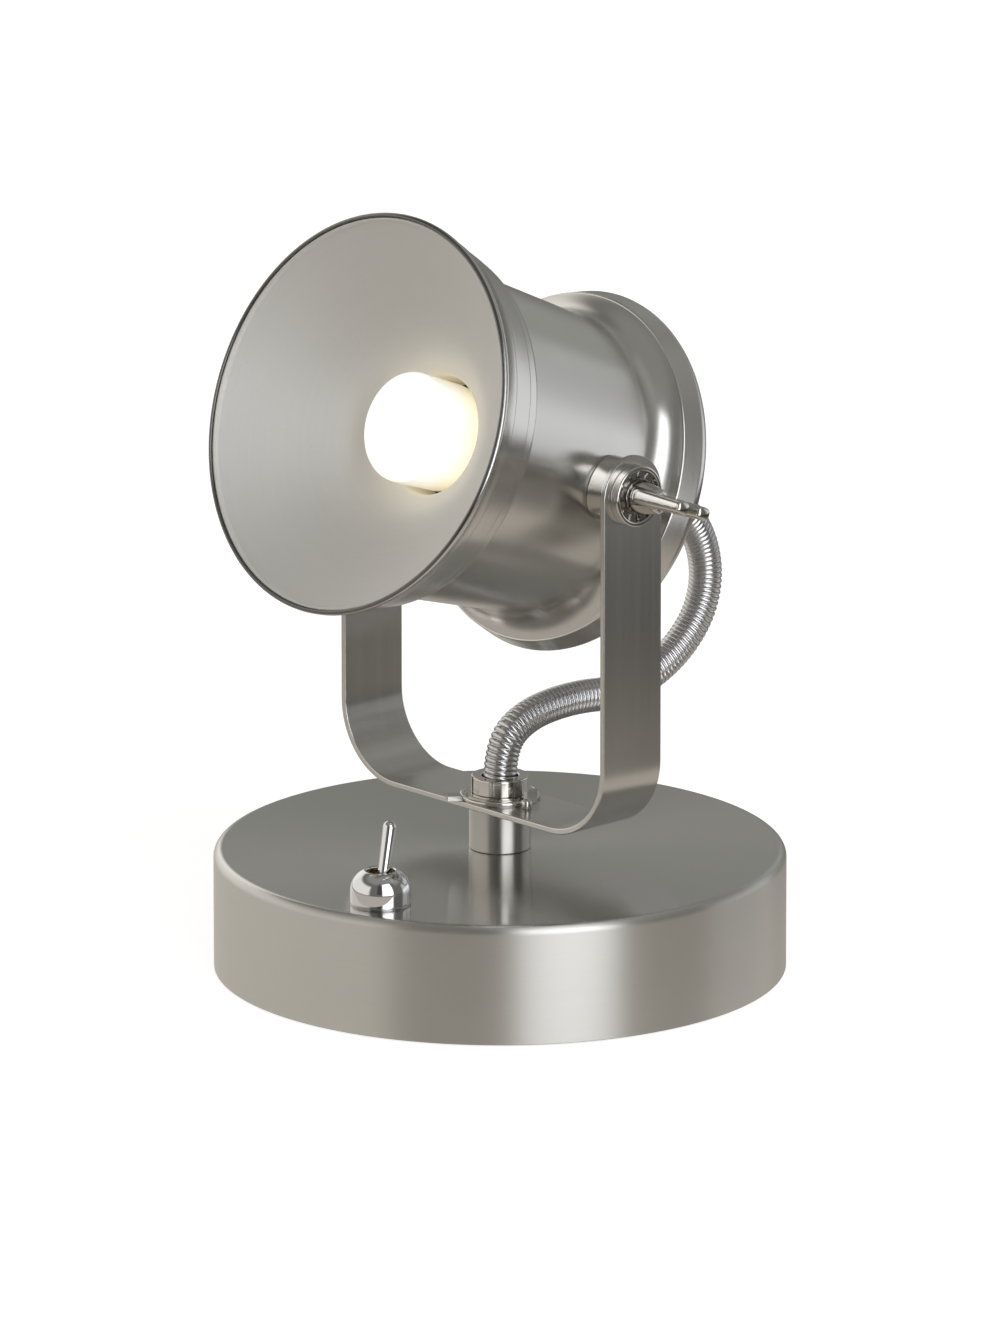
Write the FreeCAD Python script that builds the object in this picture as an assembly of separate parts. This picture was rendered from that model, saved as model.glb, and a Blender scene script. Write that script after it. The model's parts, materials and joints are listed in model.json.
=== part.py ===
"""Tabletop searchlight lamp: a weighted round base with a toggle switch, a swivelling
strip-steel yoke, and a spun head that tilts in the yoke on two wing-screw trunnions.

Frame: millimetres, +Z up, origin at the centre of the underside, the lamp faces -Y and
the trunnion axis lies along X.  Head parts are made upright on their own axis (z is the
distance in front of the trunnion) and then laid into the yoke at the rest tilt.
One STEP file is written for each piece.
"""
import FreeCAD, Part
import math
import os
from collections import namedtuple

Vector = FreeCAD.Vector
Bow = namedtuple("Bow", "via to")          # an arc in an outline: a point on it and its end

# ---------------------------------------------------------------- driving dimensions
# clearances
RUN = 0.05                # radial and axial running clearance between moving pieces
HOSE_PLAY = 0.30          # the hose in the mouth of the collar nut
SLIP = 0.10               # a fixed piece slipped through a hole

# base
BASE_RADIUS = 70.0
BASE_TOP = 30.2           # top face above the table
BASE_WALL = 1.2
BASE_EDGE_RADIUS = 2.2    # rounded edge between side and top
SHELL_LIFT = 0.5          # lower edge of the shell above the table
PAD_THICK = 1.5
PAD_INSET = 2.5           # foot pad inside the wall of the shell
PLATE_THICK = 1.2
PLATE_PLAY = 0.3
BALLAST_PLAY = 4.8        # ballast inside the wall of the shell
BALLAST_THICK = 8.0
POST_RADIUS = 5.0         # cast posts that the bottom plate is screwed to
POST_INSET = 20.0         # their centres inside the edge of the base
POST_ANGLES = (35.0, 155.0, 215.0)
PLATE_SCREW_RADIUS = 1.6
PLATE_SCREW_LENGTH = 9.0
PLATE_SCREW_HEAD_RADIUS = 3.0
PLATE_SCREW_HEAD = 0.9
PLATE_SCREW_SLOT = 0.8

# mains inlet, at the back of the base
INLET_HEIGHT = 12.0
INLET_BORE = 3.4          # radius
INLET_NECK = 5.0          # radius of the grommet in the hole
INLET_FLANGE = 6.8        # radius
INLET_FLANGE_THICK = 1.4

# stem and swivel
STEM_RADIUS = 7.55
NIPPLE_RADIUS = 5.0
NIPPLE_BORE = 3.4
NIPPLE_TAIL = 3.0         # thread left below the stem nut
NIPPLE_SINK = 2.5         # top of the nipple below the mouth of the collar nut
STEM_LENGTH = 11.0
STEM_ROUNDING = 0.4
STEM_FOOT = 0.3           # chamfer of the stem's foot
STEM_WASHER_RADIUS = 11.0
STEM_WASHER_THICK = 1.5
STEM_NUT_FLATS = 14.0
STEM_NUT_THICK = 4.0
STOP_WASHER_RADIUS = 9.6
STOP_WASHER_THICK = 1.1
STOP_TAB_REACH = 13.2     # end of the tab from the swivel axis
STOP_TAB_WIDTH = 3.4
STOP_TAB_ANGLE = 237.0    # degrees round from +X
LOCK_EAR_ANGLE = 8.0
LOCK_EAR_WIDTH = 4.0
LOCK_EAR_RISE = 3.4
COLLAR_WASHER_RADIUS = 8.4
COLLAR_WASHER_THICK = 0.5
COLLAR_WALL = 2.6         # round the hose
COLLAR_HEIGHT = 4.1
COLLAR_EDGE = 0.35
STOP_PIN_CIRCLE = 12.5
STOP_PIN_ANGLE = -12.0
STOP_PIN_RADIUS = 1.3
STOP_PIN_RISE = 2.6
STOP_PIN_DOME = 0.6

# yoke
YOKE_HALF = 46.8          # outer face of an arm from the swivel axis
STRIP_WIDTH = 19.1
STRIP_THICK = 1.5
YOKE_BEND = 19.0          # outer bend radius

# trunnions
TRUNNION_HEIGHT = 128.1
HEAD_RISE = 1.6           # the head's axis above the trunnions
BOSS_RADIUS = 8.2
BOSS_EDGE = 0.6
SPIGOT_RADIUS = 4.0
SPIGOT_LENGTH = 1.35
SHANK_PAST_NUT = 0.3      # boss shank through its nut
SCREW_BORE = 2.5          # thread radius of the wing screw
SCREW_SHORT = 3.0         # end of the wing screw inside the boss shank
CUP_RADIUS = 7.5
CUP_DEPTH = 2.4
CUP_FLOOR = 1.0
CUP_WALL = 1.2
CUP_EDGE = 0.4
TOOTH_WASHER_THICK = 0.7
TOOTH_COUNT = 12
TOOTH_GAP = 1.1
TOOTH_ROOT = 4.4          # radius at the foot of the gaps
HUB_RADIUS = 4.3
HUB_LENGTH = 8.0
HUB_SKIRT = 1.0           # straight part of the hub, at its back
HUB_NARROWING = 0.68      # radius of the hub's front, of its back
WING_REACH = 69.8         # wing tips from the lamp's middle plane
WING_SPAN = 6.2           # half the span over the tips
WING_THICK = 2.5
WING_ROOT = 3.3
WING_START = 3.0          # foot of the wings in front of the hub's back
WING_TURN = -31.5         # the wings round the trunnion axis, from +Y

# head shell: radii from the head's axis, and distances along it from the trunnion
REST_TILT = 21.0          # nose above the horizon
SHELL_THICK = 0.8
RIM_RADIUS = 48.8
RIM_FRONT = 51.2
RIM_BEAD = 0.5            # the rolled rim stands out this far
RIM_BEAD_LENGTH = 1.8
BELL_LENGTH = 15.3        # rim to the end of the bell
BELL_FALL = 0.5           # of the step from rim to barrel, taken by the bell
BELL_STEPS = ((5.6, 0.115), (12.6, 0.385))     # behind the rim, and share of the fall
STEP_DEPTH = 0.30
STEP_LENGTH = 0.5
SHOULDER_FALL = 0.85      # of the step from rim to barrel, where the shoulder ends
SHOULDER_LENGTH = 2.5
BARREL_RADIUS = 41.0      # at its front
BARREL_FRONT = 33.3
BARREL_TAPER = 3.5        # loss of radius to its back
BARREL_BACK = -10.2
CREST_RISE = 5.8          # crest of the flare above the barrel's back
CREST = -19.0
BAND_RISE = 1.3           # end of the cover's band above the crest
BAND_END = -24.0
COVER_BACK = -38.5
COVER_INSET = 12.6        # where the dome meets the flat back, inside the band's end
COVER_FLAT = 12.0

# reflector
REFLECTOR_THICK = 0.6
REFLECTOR_SET_BACK = 0.5
REFLECTOR_BAND = 1.3
THROAT_PLAY = 1.2         # throat round the bulb
THROAT_FRONT = 23.8
THROAT_BACK = 11.5
THROAT_BLEND = 2.0

# lamp holder and its strap
STRAP_WIDTH = 15.0
STRAP_THICK = 1.5
STRAP_PLAY = 0.13         # corner of a strap leg inside the shell
STRAP_LEG_FRONT = 6.5
STRAP_LEG_BACK = -8.5
STRAP_PLATE_HALF = 15.0
STRAP_PLATE = -14.0       # front face of the strap's middle
STRAP_NUT_FLATS = 13.0
STRAP_NUT_THICK = 3.4
HOLDER_NIPPLE_SINK = 3.0  # the nipple's end in the foot of the holder
HOLDER_NIPPLE_TAIL = 3.5  # the nipple's end behind the rear nut
HOLDER_RADIUS = 13.2
HOLDER_WAIST = 11.4
HOLDER_WAIST_LENGTH = 10.0
HOLDER_FRONT = 13.0
HOLDER_LIP = 3.0          # length of the turned-down front
HOLDER_FLOOR = 4.0
SLEEVE_PLAY = 0.45        # threaded sleeve round the bulb cap
SLEEVE_THICK = 0.5
SLEEVE_LIFT = 4.0         # sleeve above the holder's floor
CONTACT_RADIUS = 2.4
CONTACT_THICK = 0.6
BULB_CAP_RADIUS = 6.95
BULB_CAP_BACK = -8.2
BULB_CAP_FRONT = 9.0
BULB_RADIUS = 13.6
BULB_TIP = 35.6
BULB_WALL = 0.8
BULB_NECK = 4.4           # straight part of the neck
BULB_SHOULDER = 19.5      # where the bulb is nearly at its full width
BULB_SWELL = 0.35         # gain of radius from the shoulder to the front
BULB_EDGE = 1.8           # radius of the rounded edge
BULB_DOME = 0.9           # height of the flattened front

# rear gland and hose
REAR_NUT_RADIUS = 8.0
REAR_NUT_THICK = 3.0
TURNED_EDGE = 0.5         # chamfer of the rear nut and the gland
HOSE_RADIUS = 4.15
GLAND_PLAY = 0.1
GLAND_WALL = 1.75
GLAND_LENGTH = 9.5
HOSE_LEAD = 58.0          # last corner of the hose's route behind the trunnion, on the head's axis
HOSE_ROUTE = [            # corners between the swivel and the gland, in Y and Z
    (0.0, 55.6), (8.3, 61.9), (23.8, 63.5), (40.8, 61.5), (56.4, 66.3),
    (67.2, 75.8), (70.2, 88.0), (65.3, 100.9),
]
BEND_SHARE = 0.45         # of the shorter run beside a corner

# switch
SWITCH_INSET = 12.8       # its centre inside the edge of the base
SWITCH_ANGLE = -73.35     # degrees round from +X
DOME_RADIUS = 7.4
DOME_SKIRT = 3.4
DOME_SIDE = (6.37, 6.5)    # a point of its rounded side: radius, and height above the base
DOME_HEIGHT = 8.35
DOME_MOUTH = 3.5
DOME_LIP = 0.5
DOME_FOOT = 0.35          # step in the foot of the skirt
BUSHING_RADIUS = 5.0
BUSHING_TOP = 5.6         # above the base
BUSHING_SOCKET = 5.0      # depth of the ball socket
BUSHING_BOTTOM = 6.5      # below the base's top face
BUSHING_BORE = 2.6
SWITCH_NUT_FLATS = 14.0
SWITCH_NUT_THICK = 2.2
SWITCH_BODY = (13.0, 12.0, 10.0)
SWITCH_ROOM = 4.5         # notch in the ballast round the switch body
TERMINAL = (0.8, 3.0, 4.5)
TERMINAL_SPREAD = 3.4
PIVOT_HEIGHT = 2.4        # above the base's top face
BALL_RADIUS = 3.0
PIVOT_PIN_RADIUS = 0.6
LEVER_LEAN = 15.0
LEVER_ROOT_RADIUS = 1.35
LEVER_TIP_RADIUS = 1.65
LEVER_REACH = 17.8        # pivot to tip
LEVER_TAIL = 2.8
LEVER_TAIL_RADIUS = 1.0

# wiring inside the base
BLOCK = (22.0, 9.0, 8.0)
BLOCK_INSET = 32.0        # the connector's centre inside the back of the base
BLOCK_SCREW_RADIUS = 1.6
BLOCK_SCREW_RISE = 1.0
BLOCK_SCREW_SLOT = 0.6
BLOCK_PITCH = 6.5
EARTH_OFFSET = (-24.0, -4.0)     # earth screw from the connector's centre
EARTH_TAG_RADIUS = 4.0
EARTH_TAG_THICK = 0.8
EARTH_TAG_TAIL = (7.0, 3.0)
EARTH_SCREW_RADIUS = 2.0
EARTH_SCREW_SHORT = 2.0   # end of its hole under the top of the ballast
EARTH_HEAD_RADIUS = 3.4
EARTH_HEAD = 2.0
EARTH_HEAD_EDGE = 0.6
EARTH_HEAD_SLOT = 0.9
WIRE_RADIUS = 1.1
WIRE_BEND = 5.0
WIRE_IN_BLOCK = 3.0       # bared end inside the connector
WIRE_LEAD = 8.0           # straight out of the connector
WIRE_DROP = 4.0           # loop of the wires below the nipple

# ---------------------------------------------------------------- worked-out sizes
UP = Vector(0, 0, 1)
ORIGIN = Vector(0, 0, 0)
HEAD_HEIGHT = TRUNNION_HEIGHT + HEAD_RISE
TRUNNION_IN_HEAD = Vector(0, -HEAD_RISE * math.cos(math.radians(REST_TILT)),
                          -HEAD_RISE * math.sin(math.radians(REST_TILT)))
BASE_CEILING = BASE_TOP - BASE_WALL
BALLAST_BOTTOM = BASE_CEILING - BALLAST_THICK
BALLAST_RADIUS = BASE_RADIUS - BASE_WALL - BALLAST_PLAY
POST_CIRCLE = BASE_RADIUS - POST_INSET
PLATE_BOTTOM = PAD_THICK
PLATE_TOP = PLATE_BOTTOM + PLATE_THICK
STEM_TOP = BASE_TOP + STEM_LENGTH
YOKE_BOTTOM = STEM_TOP + RUN
YOKE_FLOOR = YOKE_BOTTOM + STRIP_THICK
ARM_INNER = YOKE_HALF - STRIP_THICK
BOSS_FACE = ARM_INNER - RUN
STOP_WASHER_BOTTOM = YOKE_FLOOR + RUN
STOP_WASHER_TOP = STOP_WASHER_BOTTOM + STOP_WASHER_THICK
COLLAR_BOTTOM = STOP_WASHER_TOP + COLLAR_WASHER_THICK
COLLAR_TOP = COLLAR_BOTTOM + COLLAR_HEIGHT
COLLAR_MOUTH = HOSE_RADIUS + HOSE_PLAY
COLLAR_RADIUS = COLLAR_MOUTH + COLLAR_WALL
NIPPLE_TOP = COLLAR_TOP - NIPPLE_SINK
NIPPLE_BOTTOM = BALLAST_BOTTOM - STEM_WASHER_THICK - STEM_NUT_THICK - NIPPLE_TAIL
CUP_BACK = YOKE_HALF
CUP_FRONT = CUP_BACK + CUP_DEPTH
TOOTH_BACK = CUP_BACK + CUP_FLOOR
HUB_BACK = TOOTH_BACK + TOOTH_WASHER_THICK + RUN
BARREL_END_RADIUS = BARREL_RADIUS - BARREL_TAPER
CREST_RADIUS = BARREL_END_RADIUS + CREST_RISE
BAND_RADIUS = CREST_RADIUS + BAND_RISE
BARREL_AT_STRAP = BARREL_END_RADIUS + (BARREL_TAPER * (STRAP_LEG_BACK - BARREL_BACK)
                                       / (BARREL_FRONT - BARREL_BACK))
STRAP_LEG = math.sqrt((BARREL_AT_STRAP - SHELL_THICK - STRAP_PLAY) ** 2 - (STRAP_WIDTH / 2) ** 2)
STRAP_BACK = STRAP_PLATE - STRAP_THICK
SHANK_REACH = STRAP_LEG - STRAP_THICK - STRAP_NUT_THICK - SHANK_PAST_NUT
HOLDER_FLOOR_AT = STRAP_PLATE + HOLDER_FLOOR
HOLDER_NIPPLE_FRONT = STRAP_PLATE + HOLDER_NIPPLE_SINK
HOLDER_NIPPLE_BACK = COVER_BACK - REAR_NUT_THICK - HOLDER_NIPPLE_TAIL
SLEEVE_RADIUS = BULB_CAP_RADIUS + SLEEVE_PLAY
THROAT_RADIUS = BULB_RADIUS + THROAT_PLAY
GLAND_MOUTH = HOSE_RADIUS + GLAND_PLAY
GLAND_RADIUS = GLAND_MOUTH + GLAND_WALL
GLAND_FRONT = COVER_BACK - REAR_NUT_THICK
GLAND_BACK = GLAND_FRONT - GLAND_LENGTH
HOSE_START = NIPPLE_TOP + RUN
SWITCH_CIRCLE = BASE_RADIUS - SWITCH_INSET
SWITCH_PLACE = Vector(SWITCH_CIRCLE * math.cos(math.radians(SWITCH_ANGLE)),
                      SWITCH_CIRCLE * math.sin(math.radians(SWITCH_ANGLE)), 0)
PIVOT_Z = BASE_TOP + PIVOT_HEIGHT
BLOCK_PLACE = Vector(0, BASE_RADIUS - BLOCK_INSET, 0)
EARTH_PLACE = BLOCK_PLACE + Vector(EARTH_OFFSET[0], EARTH_OFFSET[1], 0)


# ---------------------------------------------------------------- helpers
def upright(point):
    """A point of an outline, given as (radius, height), in the XZ plane."""
    return Vector(point[0], 0, point[1])


def outline_edges(steps):
    """Edges through a list of corners and Bows."""
    edges = []
    here = steps[0]
    for step in steps[1:]:
        if isinstance(step, Bow):
            edges.append(Part.Arc(upright(here), upright(step.via), upright(step.to)).toShape())
            here = step.to
        else:
            edges.append(Part.makeLine(upright(here), upright(step)))
            here = step
    return edges


def turned(*steps):
    """A solid of revolution about Z, from a closed outline in (radius, height)."""
    face = Part.Face(Part.Wire(outline_edges(list(steps) + [steps[0]])))
    return face.revolve(ORIGIN, UP, 360)


def crown(radius, base, top):
    """The arc of a shallow dome, from (radius, base) to its pole on the axis."""
    height = top - base
    sphere = (radius ** 2 + height ** 2) / (2 * height)
    half = math.atan2(radius, sphere - height) / 2
    return Bow((sphere * math.sin(half), top - sphere + sphere * math.cos(half)), (0, top))


def tube(outer, inner, bottom, top):
    """A plain ring or tube about Z."""
    return turned((inner, bottom), (outer, bottom), (outer, top), (inner, top))


def rod(radius, bottom, top):
    """A plain round bar about Z."""
    return Part.makeCylinder(radius, top - bottom, Vector(0, 0, bottom))


def plank(length, width, bottom, top):
    """A block centred on Z."""
    return Part.makeBox(length, width, top - bottom, Vector(-length / 2, -width / 2, bottom))


def hex_nut(flats, bottom, top, bore):
    """A hexagon nut about Z with its corners turned off on both faces."""
    corner = flats / math.sqrt(3)
    corners = [Vector(corner * math.cos(math.radians(60 * k)),
                      corner * math.sin(math.radians(60 * k)), bottom) for k in range(7)]
    prism = Part.Face(Part.makePolygon(corners)).extrude(UP * (top - bottom))
    chamfer = (corner - flats / 2) * 0.6
    turning = turned((0, bottom), (flats / 2, bottom), (corner, bottom + chamfer),
                     (corner, top - chamfer), (flats / 2, top), (0, top))
    return prism.common(turning).cut(rod(bore, bottom, top))


def filleted(corners, bend):
    """Edges of an open polyline of Vectors whose inner corners are tangent arcs of one radius,
    or of a radius that the function bend gives for a corner's index."""
    edges = []
    here = corners[0]
    for index in range(1, len(corners) - 1):
        before = (corners[index - 1] - corners[index]).normalize()
        after = (corners[index + 1] - corners[index]).normalize()
        half_turn = (math.pi - before.getAngle(after)) / 2
        radius = bend(index, half_turn)
        reach = radius * math.tan(half_turn)
        start = corners[index] + before * reach
        end = corners[index] + after * reach
        inward = (before + after).normalize()
        middle = corners[index] + inward * (radius / math.cos(half_turn) - radius)
        edges.append(Part.makeLine(here, start))
        edges.append(Part.Arc(start, middle, end).toShape())
        here = end
    edges.append(Part.makeLine(here, corners[-1]))
    return edges


def swept(edges, radius):
    """A round bar of the given radius along tangent edges."""
    first = edges[0]
    tangent = first.tangentAt(first.FirstParameter)
    section = Part.Wire(Part.Circle(first.valueAt(first.FirstParameter), tangent, radius).toShape())
    return Part.Wire(edges).makePipeShell([section], True, False)


def turned_about_z(shape, angle):
    """A copy turned about the swivel axis."""
    copy = shape.copy()
    copy.rotate(ORIGIN, UP, angle)
    return copy


def in_head(shape):
    """Lay a head part from its upright frame into the yoke at the rest tilt."""
    copy = shape.copy()
    copy.rotate(ORIGIN, Vector(1, 0, 0), 90 - REST_TILT)
    copy.translate(Vector(0, 0, HEAD_HEIGHT))
    return copy


def on_trunnion(shape, side):
    """Lay a part made upright on Z along the trunnion axis, on side +1 or -1."""
    copy = shape.copy()
    copy.rotate(ORIGIN, Vector(0, 1, 0), 90 * side)
    copy.translate(Vector(0, 0, TRUNNION_HEIGHT))
    return copy


def at_switch(shape):
    """Move a part made at the swivel axis to the switch, its X turned to the outward radius."""
    copy = turned_about_z(shape, SWITCH_ANGLE)
    copy.translate(SWITCH_PLACE)
    return copy


# ---------------------------------------------------------------- base
def base_shell():
    """Spun steel drum, open below, pierced for the stem, the switch and the mains inlet."""
    inner = BASE_RADIUS - BASE_WALL
    corner = BASE_EDGE_RADIUS * (1 - math.sqrt(0.5))
    inner_edge = BASE_EDGE_RADIUS - BASE_WALL
    inner_corner = inner_edge * (1 - math.sqrt(0.5))
    shell = turned((0, BASE_CEILING), (inner - inner_edge, BASE_CEILING),
                   Bow((inner - inner_corner, BASE_CEILING - inner_corner),
                       (inner, BASE_CEILING - inner_edge)),
                   (inner, SHELL_LIFT), (BASE_RADIUS, SHELL_LIFT),
                   (BASE_RADIUS, BASE_TOP - BASE_EDGE_RADIUS),
                   Bow((BASE_RADIUS - corner, BASE_TOP - corner),
                       (BASE_RADIUS - BASE_EDGE_RADIUS, BASE_TOP)),
                   (0, BASE_TOP))
    stem_hole = rod(NIPPLE_RADIUS + SLIP, BASE_CEILING, BASE_TOP)
    switch_hole = at_switch(rod(BUSHING_RADIUS + SLIP, BASE_CEILING, BASE_TOP))
    return shell.cut([stem_hole, switch_hole, inlet_bar(INLET_NECK)])


def inlet_bar(radius, start=None, end=None):
    """A bar along the inlet's axis, through the back of the base."""
    near = BASE_RADIUS - 2 * BASE_WALL if start is None else start
    far = BASE_RADIUS + BASE_WALL if end is None else end
    return Part.makeCylinder(radius, far - near, Vector(0, near, INLET_HEIGHT), Vector(0, 1, 0))


def inlet_grommet():
    """Bush that lines the mains inlet: two flanges that grip the wall, which is trimmed
    away from them as curved as it is."""
    outer = BASE_RADIUS + INLET_FLANGE_THICK
    inner = BASE_RADIUS - BASE_WALL - INLET_FLANGE_THICK
    body = inlet_bar(INLET_FLANGE, inner - INLET_FLANGE_THICK, outer)
    wall = tube(BASE_RADIUS, BASE_RADIUS - BASE_WALL, 0, BASE_TOP).cut(inlet_bar(INLET_NECK))
    rounded = tube(outer - RUN, inner, 0, BASE_TOP)
    return body.common(rounded).cut(wall).cut(inlet_bar(INLET_BORE, inner - 4, outer + 4))


def foot_pad():
    """Felt disc glued under the bottom plate."""
    radius = BASE_RADIUS - BASE_WALL - PAD_INSET
    pad = rod(radius, 0, PAD_THICK)
    holes = [rod(PLATE_SCREW_HEAD_RADIUS + 4 * SLIP, 0, PAD_THICK).translated(place)
             for place in post_places()]
    return pad.cut(holes)


def post_places():
    """Centres of the three cast posts."""
    return [Vector(POST_CIRCLE * math.cos(math.radians(angle)),
                   POST_CIRCLE * math.sin(math.radians(angle)), 0) for angle in POST_ANGLES]


def bottom_plate():
    """Steel disc that closes the drum."""
    plate = rod(BASE_RADIUS - BASE_WALL - PLATE_PLAY, PLATE_BOTTOM, PLATE_TOP)
    holes = [rod(PLATE_SCREW_RADIUS + SLIP, 0, PLATE_TOP).translated(place) for place in post_places()]
    return plate.cut(holes)


def bottom_screws():
    """Three pan-head screws, up through the plate into the posts."""
    screws = []
    for place in post_places():
        head = rod(PLATE_SCREW_HEAD_RADIUS, PLATE_BOTTOM - PLATE_SCREW_HEAD, PLATE_BOTTOM)
        shank = rod(PLATE_SCREW_RADIUS, PLATE_BOTTOM, PLATE_BOTTOM + PLATE_SCREW_LENGTH)
        slot = plank(2 * PLATE_SCREW_HEAD_RADIUS, PLATE_SCREW_SLOT, PLATE_BOTTOM - PLATE_SCREW_HEAD,
                     PLATE_BOTTOM - PLATE_SCREW_HEAD / 2)
        screws.append(head.fuse(shank).removeSplitter().cut(slot).translated(place))
    return Part.makeCompound(screws)


def ballast():
    """Cast-iron weight clamped under the drum's ceiling, notched for the switch."""
    body = rod(BALLAST_RADIUS, BALLAST_BOTTOM, BASE_CEILING)
    for place in post_places():
        body = body.fuse(rod(POST_RADIUS, PLATE_TOP, BALLAST_BOTTOM).translated(place))
    body = body.removeSplitter()
    length, width, _ = SWITCH_BODY
    notch = at_switch(plank(length + 2 * SWITCH_ROOM, width + 2 * SWITCH_ROOM, BALLAST_BOTTOM, BASE_CEILING))
    cuts = [rod(NIPPLE_RADIUS + SLIP, BALLAST_BOTTOM, BASE_CEILING), notch]
    cuts += [rod(PLATE_SCREW_RADIUS, PLATE_TOP, PLATE_BOTTOM + PLATE_SCREW_LENGTH).translated(place)
             for place in post_places()]
    cuts.append(rod(EARTH_SCREW_RADIUS, BALLAST_BOTTOM, BASE_CEILING - EARTH_SCREW_SHORT)
                .translated(EARTH_PLACE))
    return body.cut(cuts)


def terminal_block():
    """Three-way screw connector glued to the ballast."""
    length, width, height = BLOCK
    block = plank(length, width, BALLAST_BOTTOM - height, BALLAST_BOTTOM)
    holes = []
    for way in (-1, 0, 1):
        holes.append(rod(BLOCK_SCREW_RADIUS + SLIP, BALLAST_BOTTOM - height,
                         BALLAST_BOTTOM - height / 2).translated(Vector(way * BLOCK_PITCH, 0, 0)))
        holes.append(Part.makeCylinder(WIRE_RADIUS + SLIP, width,
                                       Vector(way * BLOCK_PITCH, -width / 2, BALLAST_BOTTOM - height / 3),
                                       Vector(0, 1, 0)))
    return block.cut(holes).translated(BLOCK_PLACE)


def terminal_screws():
    """The connector's three clamp screws, slotted."""
    height = BLOCK[2]
    bottom = BALLAST_BOTTOM - height + BLOCK_SCREW_RISE
    screw = rod(BLOCK_SCREW_RADIUS, bottom, BALLAST_BOTTOM - height / 2)
    screw = screw.cut(plank(2 * BLOCK_SCREW_RADIUS, BLOCK_SCREW_SLOT, bottom, bottom + BLOCK_SCREW_SLOT))
    return Part.makeCompound([screw.translated(BLOCK_PLACE + Vector(way * BLOCK_PITCH, 0, 0))
                              for way in (-1, 0, 1)])


def earth_tag():
    """Ring tag and its tail, under the earth screw."""
    ring = tube(EARTH_TAG_RADIUS, EARTH_SCREW_RADIUS + SLIP, BALLAST_BOTTOM - EARTH_TAG_THICK, BALLAST_BOTTOM)
    length, width = EARTH_TAG_TAIL
    tail = Part.makeBox(length, width, EARTH_TAG_THICK,
                        Vector(EARTH_TAG_RADIUS - 1, -width / 2, BALLAST_BOTTOM - EARTH_TAG_THICK))
    return ring.fuse(tail).removeSplitter().translated(EARTH_PLACE)


def earth_screw():
    """Screw that bonds the earth tag to the ballast."""
    under = BALLAST_BOTTOM - EARTH_TAG_THICK
    bottom = under - EARTH_HEAD
    head = turned((0, bottom), (EARTH_HEAD_RADIUS - EARTH_HEAD_EDGE, bottom),
                  (EARTH_HEAD_RADIUS, bottom + EARTH_HEAD_EDGE), (EARTH_HEAD_RADIUS, under), (0, under))
    shank = rod(EARTH_SCREW_RADIUS, under, BASE_CEILING - EARTH_SCREW_SHORT)
    slot = plank(2 * EARTH_HEAD_RADIUS, EARTH_HEAD_SLOT, bottom, bottom + EARTH_HEAD / 2)
    return head.fuse(shank).removeSplitter().cut(slot).translated(EARTH_PLACE)


# ---------------------------------------------------------------- stem and swivel
def stem():
    """Turned spacer between the base and the yoke."""
    return turned((NIPPLE_RADIUS + SLIP, BASE_TOP), (STEM_RADIUS - STEM_FOOT, BASE_TOP),
                  (STEM_RADIUS, BASE_TOP + STEM_FOOT),
                  (STEM_RADIUS, STEM_TOP - STEM_ROUNDING), (STEM_RADIUS - STEM_ROUNDING, STEM_TOP),
                  (NIPPLE_RADIUS + SLIP, STEM_TOP))


def stem_nipple():
    """Hollow threaded rod that ties ballast, base, stem and collar nut together."""
    return tube(NIPPLE_RADIUS, NIPPLE_BORE, NIPPLE_BOTTOM, NIPPLE_TOP)


def stem_washer():
    """Washer under the ballast."""
    return tube(STEM_WASHER_RADIUS, NIPPLE_RADIUS + SLIP, BALLAST_BOTTOM - STEM_WASHER_THICK, BALLAST_BOTTOM)


def stem_nut():
    """Nut that clamps the base on the nipple."""
    top = BALLAST_BOTTOM - STEM_WASHER_THICK
    return hex_nut(STEM_NUT_FLATS, top - STEM_NUT_THICK, top, NIPPLE_RADIUS)


def stop_washer():
    """Washer keyed to the nipple, with the tab that the stop pin meets and a lock ear."""
    ring = rod(STOP_WASHER_RADIUS, STOP_WASHER_BOTTOM, STOP_WASHER_TOP)
    tab = Part.makeBox(STOP_TAB_REACH, STOP_TAB_WIDTH, STOP_WASHER_THICK,
                       Vector(0, -STOP_TAB_WIDTH / 2, STOP_WASHER_BOTTOM))
    ear = Part.makeBox(STOP_WASHER_THICK, LOCK_EAR_WIDTH, LOCK_EAR_RISE,
                       Vector(STOP_WASHER_RADIUS - STOP_WASHER_THICK / 2, -LOCK_EAR_WIDTH / 2,
                              STOP_WASHER_BOTTOM))
    body = ring.fuse([turned_about_z(tab, STOP_TAB_ANGLE), turned_about_z(ear, LOCK_EAR_ANGLE)])
    return body.removeSplitter().cut(rod(NIPPLE_RADIUS, STOP_WASHER_BOTTOM, STOP_WASHER_TOP))


def collar_washer():
    """Thin spring washer between the stop washer and the collar nut."""
    return tube(COLLAR_WASHER_RADIUS, NIPPLE_RADIUS, STOP_WASHER_TOP, COLLAR_BOTTOM)


def collar_nut():
    """Round nut whose mouth takes the end of the hose."""
    return turned((NIPPLE_RADIUS, COLLAR_BOTTOM), (COLLAR_RADIUS, COLLAR_BOTTOM),
                  (COLLAR_RADIUS, COLLAR_TOP - COLLAR_EDGE), (COLLAR_RADIUS - COLLAR_EDGE, COLLAR_TOP),
                  (COLLAR_MOUTH + COLLAR_EDGE, COLLAR_TOP), (COLLAR_MOUTH, COLLAR_TOP - COLLAR_EDGE),
                  (COLLAR_MOUTH, NIPPLE_TOP), (NIPPLE_RADIUS, NIPPLE_TOP))


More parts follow.
